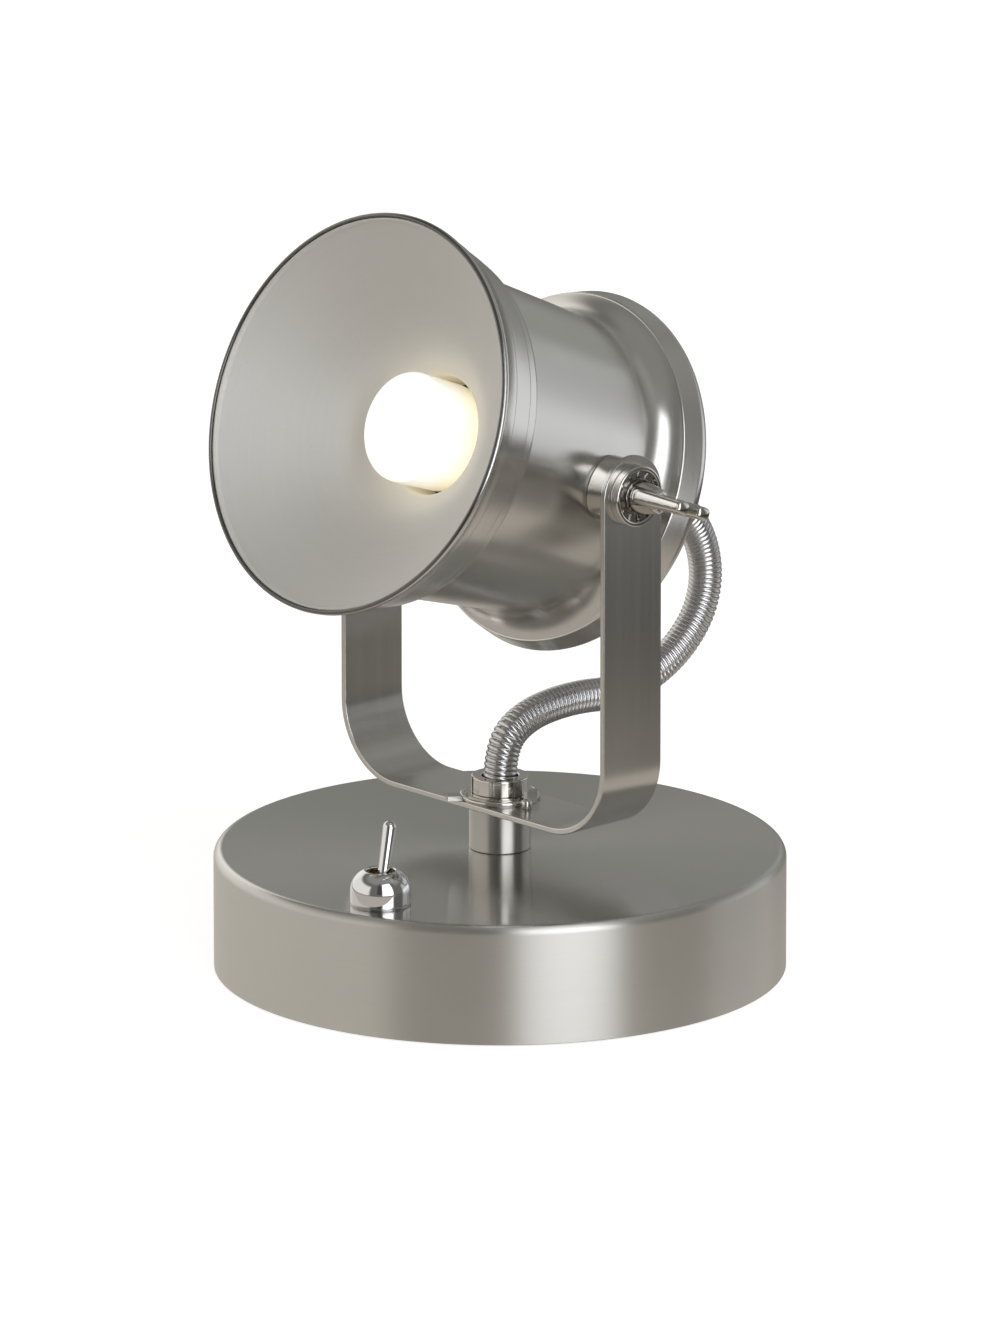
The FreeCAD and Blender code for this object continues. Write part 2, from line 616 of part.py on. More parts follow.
# ---------------------------------------------------------------- yoke
def yoke():
    """Flat strip bent to a U, its ends rounded about the trunnions."""
    inner_bend = YOKE_BEND - STRIP_THICK

    def u_path(half, bottom, bend):
        corners = [Vector(-half, 0, TRUNNION_HEIGHT), Vector(-half, 0, bottom),
                   Vector(half, 0, bottom), Vector(half, 0, TRUNNION_HEIGHT)]
        return filleted(corners, lambda index, half_turn: bend)

    outer = u_path(YOKE_HALF, YOKE_BOTTOM, YOKE_BEND)
    inner = u_path(ARM_INNER, YOKE_FLOOR, inner_bend)
    caps = [Part.makeLine(Vector(side * YOKE_HALF, 0, TRUNNION_HEIGHT),
                          Vector(side * ARM_INNER, 0, TRUNNION_HEIGHT)) for side in (-1, 1)]
    profile = Part.Face(Part.Wire(Part.__sortEdges__(outer + inner + caps)))
    profile.translate(Vector(0, -STRIP_WIDTH / 2, 0))
    strip = profile.extrude(Vector(0, STRIP_WIDTH, 0))
    ends = [on_trunnion(rod(STRIP_WIDTH / 2, ARM_INNER, YOKE_HALF), side) for side in (-1, 1)]
    body = strip.fuse(ends).removeSplitter()
    holes = [on_trunnion(rod(SPIGOT_RADIUS + RUN, ARM_INNER, YOKE_HALF), side) for side in (-1, 1)]
    holes.append(rod(NIPPLE_RADIUS + RUN, YOKE_BOTTOM, YOKE_FLOOR))
    holes.append(rod(STOP_PIN_RADIUS / 2, YOKE_BOTTOM, YOKE_FLOOR).translated(stop_pin_place()))
    return body.cut(holes)


def stop_pin_place():
    """Where the stop pin is riveted into the yoke."""
    angle = math.radians(STOP_PIN_ANGLE)
    return Vector(STOP_PIN_CIRCLE * math.cos(angle), STOP_PIN_CIRCLE * math.sin(angle), 0)


def stop_pin():
    """Shouldered rivet that runs against the stop washer's tab."""
    top = YOKE_FLOOR + STOP_PIN_RISE
    tail = STOP_PIN_RADIUS / 2
    rim = top - STOP_PIN_DOME
    pin = turned((0, YOKE_BOTTOM), (tail, YOKE_BOTTOM), (tail, YOKE_FLOOR), (STOP_PIN_RADIUS, YOKE_FLOOR),
                 (STOP_PIN_RADIUS, rim), crown(STOP_PIN_RADIUS, rim, top))
    return pin.translated(stop_pin_place())


def cup_washer(side):
    """Cup that bears on the arm and hides the toothed washer."""
    cup = turned((SCREW_BORE + 2 * SLIP, CUP_BACK), (CUP_RADIUS, CUP_BACK),
                 (CUP_RADIUS, CUP_FRONT - CUP_EDGE), (CUP_RADIUS - CUP_EDGE, CUP_FRONT),
                 (CUP_RADIUS - CUP_WALL, CUP_FRONT), (CUP_RADIUS - CUP_WALL, TOOTH_BACK),
                 (SCREW_BORE + 2 * SLIP, TOOTH_BACK))
    return on_trunnion(cup, side)


def tooth_washer(side):
    """Lock washer with teeth round its edge, in the cup."""
    outer = CUP_RADIUS - CUP_WALL - RUN
    ring = tube(outer, SCREW_BORE + 2 * SLIP, TOOTH_BACK, TOOTH_BACK + TOOTH_WASHER_THICK)
    gap = Part.makeBox(outer, TOOTH_GAP, TOOTH_WASHER_THICK,
                       Vector(TOOTH_ROOT, -TOOTH_GAP / 2, TOOTH_BACK))
    gaps = [turned_about_z(gap, k * 360 / TOOTH_COUNT) for k in range(TOOTH_COUNT)]
    return on_trunnion(ring.cut(gaps), side)


# ---------------------------------------------------------------- wing screws
def wing_screw(side):
    """Thumbscrew with two narrow wings that spread in a V."""
    hub_front = HUB_BACK + HUB_LENGTH
    wing_back = HUB_BACK + WING_START
    shank = rod(SCREW_BORE - RUN, SHANK_REACH + SCREW_SHORT, HUB_BACK)
    neck = turned((0, HUB_BACK), (HUB_RADIUS, HUB_BACK), (HUB_RADIUS, HUB_BACK + HUB_SKIRT),
                  (HUB_RADIUS * HUB_NARROWING, hub_front), (0, hub_front))
    tip_back = WING_REACH - WING_THICK / 2
    wings = []
    for hand in (-1, 1):
        steps = [(0, wing_back), (hand * WING_ROOT, wing_back),
                 (hand * WING_SPAN, tip_back - 2),
                 Bow((hand * (WING_SPAN - 0.4), tip_back + 0.8), (hand * (WING_SPAN - 1.9), WING_REACH)),
                 Bow((hand * (WING_SPAN - 3.1), tip_back + 0.4), (hand * (WING_SPAN - 3.3), tip_back - 2)),
                 (0, hub_front + 1.5), (0, wing_back)]
        face = Part.Face(Part.Wire(outline_edges(steps)))
        face.translate(Vector(0, -WING_THICK / 2, 0))
        wings.append(face.extrude(Vector(0, WING_THICK, 0)))
    screw = shank.fuse([neck] + wings).removeSplitter()
    turn = 90 + WING_TURN if side > 0 else 90 - WING_TURN
    return on_trunnion(turned_about_z(screw, turn), side)


# ---------------------------------------------------------------- head
def shell_path():
    """The outer line of the spun shell, from the rim to the tail inside the rear cover."""
    fall = RIM_RADIUS - BARREL_RADIUS
    bead = Bow((RIM_RADIUS + RIM_BEAD, RIM_FRONT - RIM_BEAD_LENGTH * 0.55),
               (RIM_RADIUS + RIM_BEAD * 0.2, RIM_FRONT - RIM_BEAD_LENGTH))
    steps = []
    for behind_rim, share in BELL_STEPS:
        r, z = RIM_RADIUS - share * fall, RIM_FRONT - behind_rim
        steps += [(r, z), (r - STEP_DEPTH, z - STEP_LENGTH)]
    bell_end = (RIM_RADIUS - BELL_FALL * fall, RIM_FRONT - BELL_LENGTH)
    sink = (SHOULDER_FALL - BELL_FALL) * fall
    shoulder = Bow((bell_end[0] - 0.4 * sink, bell_end[1] - 0.76 * SHOULDER_LENGTH),
                   (bell_end[0] - sink, bell_end[1] - SHOULDER_LENGTH))
    run = BARREL_BACK - CREST
    cove = Bow((BARREL_END_RADIUS + CREST_RISE * 0.24, BARREL_BACK - run * 0.62), (CREST_RADIUS, CREST))
    return ([(RIM_RADIUS, RIM_FRONT), bead] + steps + [bell_end, shoulder]
            + [(BARREL_RADIUS, BARREL_FRONT), (BARREL_END_RADIUS, BARREL_BACK), cove])


def inside_line(path, thickness):
    """The same line moved inward by the sheet's thickness, point by point along its normal."""
    points = [point for step in path for point in (step if isinstance(step, Bow) else (step,))]
    moved = []
    for index, (r, z) in enumerate(points):
        before = points[max(index - 1, 0)]
        after = points[min(index + 1, len(points) - 1)]
        dr, dz = after[0] - before[0], after[1] - before[1]
        length = math.hypot(dr, dz)
        moved.append((r + dz / length * thickness, z - dr / length * thickness))
    return moved


def sheet_outline(path, thickness):
    """Closed outline of a sheet that follows a path; arcs stay arcs on both faces."""
    points = inside_line(path, thickness)
    back = []
    index = len(points) - 1
    back.append(points[index])
    for step in reversed(path[1:]):
        if isinstance(step, Bow):
            back.append(Bow(points[index - 1], points[index - 2]))
            index -= 2
        else:
            back.append(points[index - 1])
            index -= 1
    return path + back


def shell_solid():
    """The shell's outside filled in, which the bosses are saddled on."""
    path = shell_path()
    return turned((0, RIM_FRONT), *path, (0, CREST))


def body_shell():
    """Spun head shell: rolled rim, stepped bell, tapered barrel and flared tail."""
    shell = turned(*sheet_outline(shell_path(), SHELL_THICK))
    shank = rod(SPIGOT_RADIUS + SLIP, 0, RIM_RADIUS)
    holes = []
    for side in (-1, 1):
        hole = shank.copy()
        hole.rotate(ORIGIN, Vector(0, 1, 0), 90 * side)
        hole.translate(TRUNNION_IN_HEAD)
        holes.append(hole)
    return in_head(shell.cut(holes))


def reflector():
    """Satin cone from the rim to the bulb's throat."""
    band = inside_line(shell_path(), SHELL_THICK)[0][0]
    front = RIM_FRONT - REFLECTOR_SET_BACK
    corners = [upright((band - REFLECTOR_THICK, front)),
               upright((band - REFLECTOR_THICK, front - REFLECTOR_BAND)),
               upright((THROAT_RADIUS, THROAT_FRONT)), upright((THROAT_RADIUS, THROAT_BACK))]
    inner = filleted(corners, lambda index, half_turn: REFLECTOR_BAND / 2 if index == 1 else THROAT_BLEND)
    outer_corners = [upright((band, front)), upright((band, front - REFLECTOR_BAND)),
                     upright((THROAT_RADIUS + REFLECTOR_THICK, THROAT_FRONT - REFLECTOR_THICK / 2)),
                     upright((THROAT_RADIUS + REFLECTOR_THICK, THROAT_BACK))]
    outer = filleted(outer_corners, lambda index, half_turn: REFLECTOR_BAND / 2 if index == 1 else THROAT_BLEND)
    caps = [Part.makeLine(corners[0], outer_corners[0]), Part.makeLine(corners[-1], outer_corners[-1])]
    face = Part.Face(Part.Wire(Part.__sortEdges__(inner + outer + caps)))
    return in_head(face.revolve(ORIGIN, UP, 360))


def rear_cover():
    """Spun cap: a band that carries on the tail's flare, and a shallow dome."""
    slope = BAND_RISE / (CREST - BAND_END)
    dome = COVER_BACK - BAND_END
    path = [(CREST_RADIUS + slope * RUN, CREST - RUN), (BAND_RADIUS, BAND_END),
            Bow((BAND_RADIUS - 1.0, BAND_END + 0.166 * dome), (BAND_RADIUS - 3.4, BAND_END + 0.262 * dome)),
            Bow((BAND_RADIUS - COVER_INSET - 1.5, COVER_BACK - 0.359 * dome), (COVER_FLAT, COVER_BACK)),
            (NIPPLE_RADIUS + SLIP, COVER_BACK)]
    return in_head(turned(*sheet_outline(path, SHELL_THICK)))


def boss(side):
    """Turned spacer between shell and arm: saddle, spigot for the arm, threaded shank inside."""
    body = turned((0, SHANK_REACH), (SPIGOT_RADIUS, SHANK_REACH), (SPIGOT_RADIUS, STRAP_LEG - 1),
                  (BOSS_RADIUS, STRAP_LEG - 1), (BOSS_RADIUS, BOSS_FACE - BOSS_EDGE),
                  (BOSS_RADIUS - BOSS_EDGE, BOSS_FACE), (SPIGOT_RADIUS, BOSS_FACE),
                  (SPIGOT_RADIUS, BOSS_FACE + SPIGOT_LENGTH), (0, BOSS_FACE + SPIGOT_LENGTH))
    body = on_trunnion(body, side)
    shank = on_trunnion(rod(SPIGOT_RADIUS, SHANK_REACH, STRAP_LEG + 3), side)
    bore = on_trunnion(rod(SCREW_BORE, SHANK_REACH, BOSS_FACE + SPIGOT_LENGTH), side)
    return body.cut(in_head(shell_solid())).fuse(shank).removeSplitter().cut(bore)


def boss_nuts():
    """Thin nuts that clamp the strap and the shell to the bosses."""
    front = STRAP_LEG - STRAP_THICK
    nut = hex_nut(STRAP_NUT_FLATS, front - STRAP_NUT_THICK, front, SPIGOT_RADIUS)
    return Part.makeCompound([on_trunnion(nut, side) for side in (-1, 1)])


def holder_strap():
    """Bent strap across the shell that carries the lamp holder."""
    def strap_path(offset):
        leg = STRAP_LEG - offset
        return [(-leg, STRAP_LEG_FRONT), (-leg, STRAP_LEG_BACK + 0.3 * offset),
                (-STRAP_PLATE_HALF, STRAP_PLATE - STRAP_THICK + offset),
                (STRAP_PLATE_HALF, STRAP_PLATE - STRAP_THICK + offset),
                (leg, STRAP_LEG_BACK + 0.3 * offset), (leg, STRAP_LEG_FRONT)]

    steps = strap_path(0) + strap_path(STRAP_THICK)[::-1] + strap_path(0)[:1]
    face = Part.Face(Part.Wire(outline_edges(steps)))
    face.translate(Vector(0, -STRAP_WIDTH / 2, 0))
    strap = face.extrude(Vector(0, STRAP_WIDTH, 0))
    holes = [rod(NIPPLE_RADIUS + SLIP, STRAP_BACK, STRAP_PLATE)]
    for side in (-1, 1):
        hole = rod(SPIGOT_RADIUS + SLIP, STRAP_LEG - STRAP_THICK, STRAP_LEG)
        hole.rotate(ORIGIN, Vector(0, 1, 0), 90 * side)
        hole.translate(TRUNNION_IN_HEAD)
        holes.append(hole)
    return in_head(strap.cut(holes))


def holder_nipple():
    """Hollow threaded rod from the lamp holder out through the rear cover."""
    return in_head(tube(NIPPLE_RADIUS, NIPPLE_BORE, HOLDER_NIPPLE_BACK, HOLDER_NIPPLE_FRONT))


def strap_nut():
    """Nut behind the strap that locks the lamp holder."""
    return in_head(hex_nut(STRAP_NUT_FLATS, STRAP_BACK - STRAP_NUT_THICK, STRAP_BACK, NIPPLE_RADIUS))


def lamp_holder():
    """Moulded small-screw lamp holder, open to the front."""
    bore = SLEEVE_RADIUS + SLEEVE_THICK
    waist_top = STRAP_PLATE + HOLDER_WAIST_LENGTH
    lip = HOLDER_FRONT - HOLDER_LIP
    flare = HOLDER_RADIUS - HOLDER_WAIST
    holder = turned((NIPPLE_RADIUS, STRAP_PLATE), (HOLDER_WAIST, STRAP_PLATE), (HOLDER_WAIST, waist_top),
                    (HOLDER_RADIUS, waist_top + flare), (HOLDER_RADIUS, lip),
                    (HOLDER_RADIUS - 1, lip), (HOLDER_RADIUS - 1, HOLDER_FRONT),
                    (bore, HOLDER_FRONT), (bore, HOLDER_FLOOR_AT), (0, HOLDER_FLOOR_AT),
                    (0, HOLDER_NIPPLE_FRONT), (NIPPLE_RADIUS, HOLDER_NIPPLE_FRONT))
    return in_head(holder)


def holder_sleeve():
    """Threaded metal sleeve that the bulb cap screws into."""
    return in_head(tube(SLEEVE_RADIUS + SLEEVE_THICK, SLEEVE_RADIUS, HOLDER_FLOOR_AT + SLEEVE_LIFT,
                        HOLDER_FRONT - 1))


def holder_contact():
    """Spring tongue on the holder's floor that meets the bulb's tip."""
    return in_head(turned((0, HOLDER_FLOOR_AT), (CONTACT_RADIUS, HOLDER_FLOOR_AT),
                          (CONTACT_RADIUS, HOLDER_FLOOR_AT + CONTACT_THICK),
                          (CONTACT_RADIUS / 2, BULB_CAP_BACK), (0, BULB_CAP_BACK)))


def bulb_cap():
    """Threaded metal cap of the bulb, with its insulated tip."""
    cap = turned((0, BULB_CAP_BACK), (2.2, BULB_CAP_BACK), (2.2, BULB_CAP_BACK + 0.8),
                 (BULB_CAP_RADIUS - 1.6, BULB_CAP_BACK + 2.6), (BULB_CAP_RADIUS, BULB_CAP_BACK + 4.2),
                 (BULB_CAP_RADIUS, BULB_CAP_FRONT), (0, BULB_CAP_FRONT))
    return in_head(cap)


def bulb_outline(inset):
    """Half outline of the bulb, its surface moved inward by inset."""
    neck = BULB_CAP_RADIUS - inset
    full = BULB_RADIUS - inset
    tip = BULB_TIP - inset
    neck_end = BULB_CAP_FRONT + BULB_NECK
    rise = BULB_SHOULDER - neck_end
    edge = full - BULB_EDGE
    edge_top = tip - BULB_DOME
    cut = BULB_EDGE * (1 - math.sqrt(0.5))
    return [(0, BULB_CAP_FRONT), (neck, BULB_CAP_FRONT), (neck, neck_end),
            Bow((neck + 0.7 * (full - neck), neck_end + 0.42 * rise), (full - BULB_SWELL, BULB_SHOULDER)),
            (full, edge_top - BULB_EDGE),
            Bow((full - cut, edge_top - cut), (edge, edge_top)),
            crown(edge, edge_top, tip)]


def bulb_glass():
    """Opal bulb: short neck, full shoulder, straight side and a nearly flat front."""
    return in_head(turned(*bulb_outline(0)).cut(turned(*bulb_outline(BULB_WALL))))


def rear_nut():
    """Knurled-edge round nut that pulls the rear cover onto the shell."""
    flat = REAR_NUT_RADIUS - TURNED_EDGE
    return in_head(turned((NIPPLE_RADIUS, GLAND_FRONT), (flat, GLAND_FRONT),
                          (REAR_NUT_RADIUS, GLAND_FRONT + TURNED_EDGE),
                          (REAR_NUT_RADIUS, COVER_BACK - TURNED_EDGE), (flat, COVER_BACK),
                          (NIPPLE_RADIUS, COVER_BACK)))


def hose_gland():
    """Sleeve on the end of the holder nipple that takes the top end of the hose."""
    return in_head(turned((NIPPLE_RADIUS, GLAND_FRONT), (GLAND_RADIUS, GLAND_FRONT),
                          (GLAND_RADIUS, GLAND_BACK + TURNED_EDGE), (GLAND_RADIUS - TURNED_EDGE, GLAND_BACK),
                          (GLAND_MOUTH, GLAND_BACK), (GLAND_MOUTH, HOLDER_NIPPLE_BACK),
                          (NIPPLE_RADIUS, HOLDER_NIPPLE_BACK)))


def hose():
    """Armoured spring hose from the collar nut up to the gland, as its outer tube."""
    tilt = math.radians(REST_TILT)

    def behind(distance):
        return Vector(0, distance * math.cos(tilt), HEAD_HEIGHT - distance * math.sin(tilt))

    corners = [Vector(0, 0, HOSE_START)] + [Vector(0, y, z) for y, z in HOSE_ROUTE]
    corners += [behind(HOSE_LEAD), behind(HOSE_PLAY - HOLDER_NIPPLE_BACK)]
    radii = []

    def bend(index, half_turn):
        shorter = min((corners[index] - corners[index - 1]).Length,
                      (corners[index + 1] - corners[index]).Length)
        radius = BEND_SHARE * shorter / math.tan(half_turn)
        radii.append(round(radius, 1))
        return radius

    edges = filleted(corners, bend)
    bar = swept(edges, HOSE_RADIUS)
    length = sum(edge.Length for edge in edges)
    print("hose length %.1f, bend radii %s" % (length, radii))
    print("hose volume %.0f, section x length %.0f" % (bar.Volume, math.pi * HOSE_RADIUS ** 2 * length))
    return bar


# ---------------------------------------------------------------- switch
def switch_body():
    """Moulded body of the toggle switch, hollow above for the lever's tail."""
    length, width, height = SWITCH_BODY
    top = BASE_TOP - BUSHING_BOTTOM
    body = plank(length, width, top - height, top)
    well = rod(BUSHING_BORE, top - height / 2, top)
    return at_switch(body.cut(well))


def switch_bushing():
    """Threaded bushing with the ball socket of the lever."""
    top = BASE_TOP + BUSHING_TOP
    socket = top - BUSHING_SOCKET
    socket_radius = BALL_RADIUS + RUN
    bushing = turned((BUSHING_BORE, BASE_TOP - BUSHING_BOTTOM), (BUSHING_RADIUS, BASE_TOP - BUSHING_BOTTOM),
                     (BUSHING_RADIUS, top), (socket_radius, top), (socket_radius, socket),
                     (BUSHING_BORE, socket))
    pin_hole = Part.makeCylinder(PIVOT_PIN_RADIUS, 2 * BUSHING_RADIUS,
                                 Vector(0, -BUSHING_RADIUS, PIVOT_Z), Vector(0, 1, 0))
    return at_switch(bushing.cut(pin_hole))


def switch_nut():
    """Nut that holds the switch under the ceiling of the drum."""
    return at_switch(hex_nut(SWITCH_NUT_FLATS, BASE_CEILING - SWITCH_NUT_THICK, BASE_CEILING, BUSHING_RADIUS))


def switch_dome():
    """Polished dome nut over the bushing, open at the top for the lever."""
    top = BASE_TOP + DOME_HEIGHT
    skirt = BASE_TOP + DOME_SKIRT
    bushing_top = BASE_TOP + BUSHING_TOP
    lip = DOME_MOUTH + DOME_LIP
    side_radius, side_height = DOME_SIDE
    dome = turned((BUSHING_RADIUS, BASE_TOP), (DOME_RADIUS - DOME_FOOT, BASE_TOP),
                  (DOME_RADIUS - DOME_FOOT, BASE_TOP + DOME_FOOT), (DOME_RADIUS, BASE_TOP + DOME_FOOT),
                  (DOME_RADIUS, skirt),
                  Bow((side_radius, BASE_TOP + side_height), (lip, top)),
                  (DOME_MOUTH, top), (DOME_MOUTH, bushing_top + 1.5),
                  (BUSHING_RADIUS, bushing_top + RUN))
    return at_switch(dome)


def switch_pin():
    """Cross pin that the lever rocks on."""
    pin = Part.makeCylinder(PIVOT_PIN_RADIUS, 2 * BUSHING_RADIUS - 2 * SLIP,
                            Vector(0, SLIP - BUSHING_RADIUS, PIVOT_Z), Vector(0, 1, 0))
    return at_switch(pin)


def switch_terminals():
    """Two solder tags under the switch body."""
    thick, wide, drop = TERMINAL
    bottom = BASE_TOP - BUSHING_BOTTOM - SWITCH_BODY[2]
    tag = plank(wide, thick, bottom - drop, bottom)
    tags = [at_switch(tag.translated(Vector(0, side * TERMINAL_SPREAD, 0))) for side in (-1, 1)]
    return Part.makeCompound(tags)


def switch_lever():
    """Round bat lever with its ball and tail, leaning to the lamp's middle."""
    neck = math.sqrt(BALL_RADIUS ** 2 - LEVER_ROOT_RADIUS ** 2)
    tail_top = -math.sqrt(BALL_RADIUS ** 2 - LEVER_TAIL_RADIUS ** 2)
    shoulder = LEVER_REACH - LEVER_TIP_RADIUS
    quarter = LEVER_TIP_RADIUS * math.sqrt(0.5)
    lever = turned((0, -BALL_RADIUS - LEVER_TAIL), (LEVER_TAIL_RADIUS, -BALL_RADIUS - LEVER_TAIL),
                   (LEVER_TAIL_RADIUS, tail_top), Bow((BALL_RADIUS, 0), (LEVER_ROOT_RADIUS, neck)),
                   (LEVER_TIP_RADIUS, shoulder), Bow((quarter, shoulder + quarter), (0, LEVER_REACH)))
    pin_hole = Part.makeCylinder(PIVOT_PIN_RADIUS + RUN, 2 * BALL_RADIUS,
                                 Vector(0, -BALL_RADIUS, 0), Vector(0, 1, 0))
    lever = lever.cut(pin_hole)
    lever.rotate(ORIGIN, Vector(0, 1, 0), -LEVER_LEAN)
    lever.translate(Vector(0, 0, PIVOT_Z))
    return at_switch(lever)


# ---------------------------------------------------------------- wiring in the base
def base_wires():
    """Insulated wires: connector to nipple, connector to switch, switch to nipple."""
    _, width, height = BLOCK
    in_block = BLOCK_PLACE + Vector(0, WIRE_IN_BLOCK - width / 2, BALLAST_BOTTOM - height / 3)
    lead = Vector(0, -WIRE_IN_BLOCK - WIRE_LEAD, 0)
    way = Vector(BLOCK_PITCH, 0, 0)
    loop = Vector(NIPPLE_RADIUS / 3, 0, NIPPLE_BOTTOM - WIRE_DROP)
    opposite = Vector(-loop.x, 0, loop.z)
    tag_z = BASE_TOP - BUSHING_BOTTOM - SWITCH_BODY[2] - TERMINAL[2] - WIRE_RADIUS
    left = at_switch(Part.Vertex(0, -TERMINAL_SPREAD, tag_z)).Point
    right = at_switch(Part.Vertex(0, TERMINAL_SPREAD, tag_z)).Point
    routes = [
        [in_block - way, in_block - way + lead, opposite + Vector(0, 14, 0), opposite,
         Vector(-loop.x, 0, BASE_TOP)],
        [in_block + way, in_block + way + lead, Vector(20, 8, loop.z), right + Vector(4, 20, 0), right],
        [Vector(loop.x, 0, BASE_TOP), loop, loop - Vector(0, 12, 0), left],
    ]
    return Part.makeCompound([swept(filleted(route, lambda index, half_turn: WIRE_BEND), WIRE_RADIUS)
                              for route in routes])


# ---------------------------------------------------------------- the assembly
PIECES = {
    "base_shell": base_shell, "bottom_plate": bottom_plate, "foot_pad": foot_pad, "ballast": ballast,
    "bottom_screws": bottom_screws, "inlet_grommet": inlet_grommet,
    "terminal_block": terminal_block, "terminal_screws": terminal_screws,
    "earth_tag": earth_tag, "earth_screw": earth_screw, "base_wires": base_wires,
    "stem": stem, "stem_nipple": stem_nipple, "stem_washer": stem_washer, "stem_nut": stem_nut,
    "stop_washer": stop_washer, "collar_washer": collar_washer, "collar_nut": collar_nut,
    "switch_body": switch_body, "switch_bushing": switch_bushing, "switch_nut": switch_nut,
    "switch_dome": switch_dome, "switch_pin": switch_pin, "switch_terminals": switch_terminals,
    "switch_lever": switch_lever,
    "yoke": yoke, "stop_pin": stop_pin, "hose": hose,
    "body_shell": body_shell, "reflector": reflector, "rear_cover": rear_cover,
    "boss_nuts": boss_nuts, "holder_strap": holder_strap, "holder_nipple": holder_nipple,
    "strap_nut": strap_nut, "lamp_holder": lamp_holder, "holder_sleeve": holder_sleeve,
    "holder_contact": holder_contact, "bulb_cap": bulb_cap, "bulb_glass": bulb_glass,
    "rear_nut": rear_nut, "hose_gland": hose_gland,
}
PAIRED = {"boss": boss, "cup_washer": cup_washer, "tooth_washer": tooth_washer, "wing_screw": wing_screw}


def main():
    """Write every piece to parts/NAME.step."""
    os.makedirs("parts", exist_ok=True)
    shapes = {name: make() for name, make in PIECES.items()}
    for name, make in PAIRED.items():
        shapes[name + "_left"] = make(-1)
        shapes[name + "_right"] = make(1)
    for name, shape in shapes.items():
        if not shape.isValid():
            print("not valid:", name)
        shape.exportStep(os.path.join("parts", name + ".step"))
    print(len(shapes), "pieces")


main()
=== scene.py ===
# %% [markdown]
# # A tabletop searchlight lamp
# The lamp is a spun steel head that tilts in a strip-steel yoke on a weighted base.  Nearly
# every piece is turned or spun on a lathe, so nearly every piece here is a profile carried
# round an axis.  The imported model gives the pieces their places; this script gives them
# smooth surfaces and their finish.
# %% Load the frame
import json
import math
import bmesh
import bpy
import numpy as np
from mathutils import Matrix, Vector


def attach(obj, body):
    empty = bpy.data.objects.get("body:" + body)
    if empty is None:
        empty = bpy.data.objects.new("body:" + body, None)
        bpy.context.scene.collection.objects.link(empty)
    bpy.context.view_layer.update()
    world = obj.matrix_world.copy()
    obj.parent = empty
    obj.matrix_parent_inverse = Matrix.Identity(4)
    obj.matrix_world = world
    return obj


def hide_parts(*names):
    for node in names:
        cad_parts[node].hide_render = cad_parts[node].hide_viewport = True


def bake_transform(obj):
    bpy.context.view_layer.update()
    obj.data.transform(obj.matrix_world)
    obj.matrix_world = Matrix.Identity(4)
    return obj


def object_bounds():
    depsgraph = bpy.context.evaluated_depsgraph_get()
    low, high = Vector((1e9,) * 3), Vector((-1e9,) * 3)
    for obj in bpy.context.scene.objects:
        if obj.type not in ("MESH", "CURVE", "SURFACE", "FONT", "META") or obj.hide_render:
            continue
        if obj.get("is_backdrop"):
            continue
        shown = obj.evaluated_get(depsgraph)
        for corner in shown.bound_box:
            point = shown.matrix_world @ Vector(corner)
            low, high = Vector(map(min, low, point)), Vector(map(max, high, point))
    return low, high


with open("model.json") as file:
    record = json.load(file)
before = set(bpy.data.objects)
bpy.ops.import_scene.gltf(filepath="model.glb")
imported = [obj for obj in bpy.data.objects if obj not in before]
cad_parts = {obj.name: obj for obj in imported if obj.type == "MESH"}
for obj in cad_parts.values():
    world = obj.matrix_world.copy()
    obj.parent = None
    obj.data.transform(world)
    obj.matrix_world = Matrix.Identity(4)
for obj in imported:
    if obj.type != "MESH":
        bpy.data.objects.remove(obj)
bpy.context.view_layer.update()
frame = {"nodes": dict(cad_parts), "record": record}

# %% [markdown]
# ## Places
# Shapes are worked out in millimetres, upright on Z, and a matrix then lays each one where
# it belongs, in metres.  The head's axis leans back and passes a little above the trunnion
# axis, which lies along X, and the switch stands near the front edge of the base.
# %% Places of the turned pieces
MM = Matrix.Scale(0.001, 4)
TRUNNION_HEIGHT = 128.1
HEAD_RISE = 1.6
HEAD_HEIGHT = TRUNNION_HEIGHT + HEAD_RISE
REST_TILT = 21.0
SWITCH_RADIUS = 57.2
SWITCH_ANGLE = math.radians(-73.35)
PIVOT_HEIGHT = 32.6
LEVER_LEAN = math.radians(-15.0)

on_trunnion = Matrix.Translation((0, 0, TRUNNION_HEIGHT))
UPRIGHT = MM
HEAD = (MM @ Matrix.Translation((0, 0, HEAD_HEIGHT))
        @ Matrix.Rotation(math.radians(90 - REST_TILT), 4, "X"))
SIDES = {
    "left": MM @ on_trunnion @ Matrix.Rotation(math.radians(-90), 4, "Y"),
    "right": MM @ on_trunnion @ Matrix.Rotation(math.radians(90), 4, "Y"),
}
switch_place = Matrix.Translation((SWITCH_RADIUS * math.cos(SWITCH_ANGLE),
                                   SWITCH_RADIUS * math.sin(SWITCH_ANGLE), 0))
SWITCH = MM @ switch_place @ Matrix.Rotation(SWITCH_ANGLE, 4, "Z")
LEVER = SWITCH @ Matrix.Translation((0, 0, PIVOT_HEIGHT)) @ Matrix.Rotation(LEVER_LEAN, 4, "Y")

BASE_TOP = 30.2

Z_AXIS = (0.0, 0.0, 1.0)
HEAD_AXIS = tuple(HEAD.to_3x3() @ Vector(Z_AXIS) * 1000)
HEAD_CENTRE = (0.0, 0.0, HEAD_HEIGHT / 1000)
print("the head points along", [round(x, 3) for x in HEAD_AXIS])

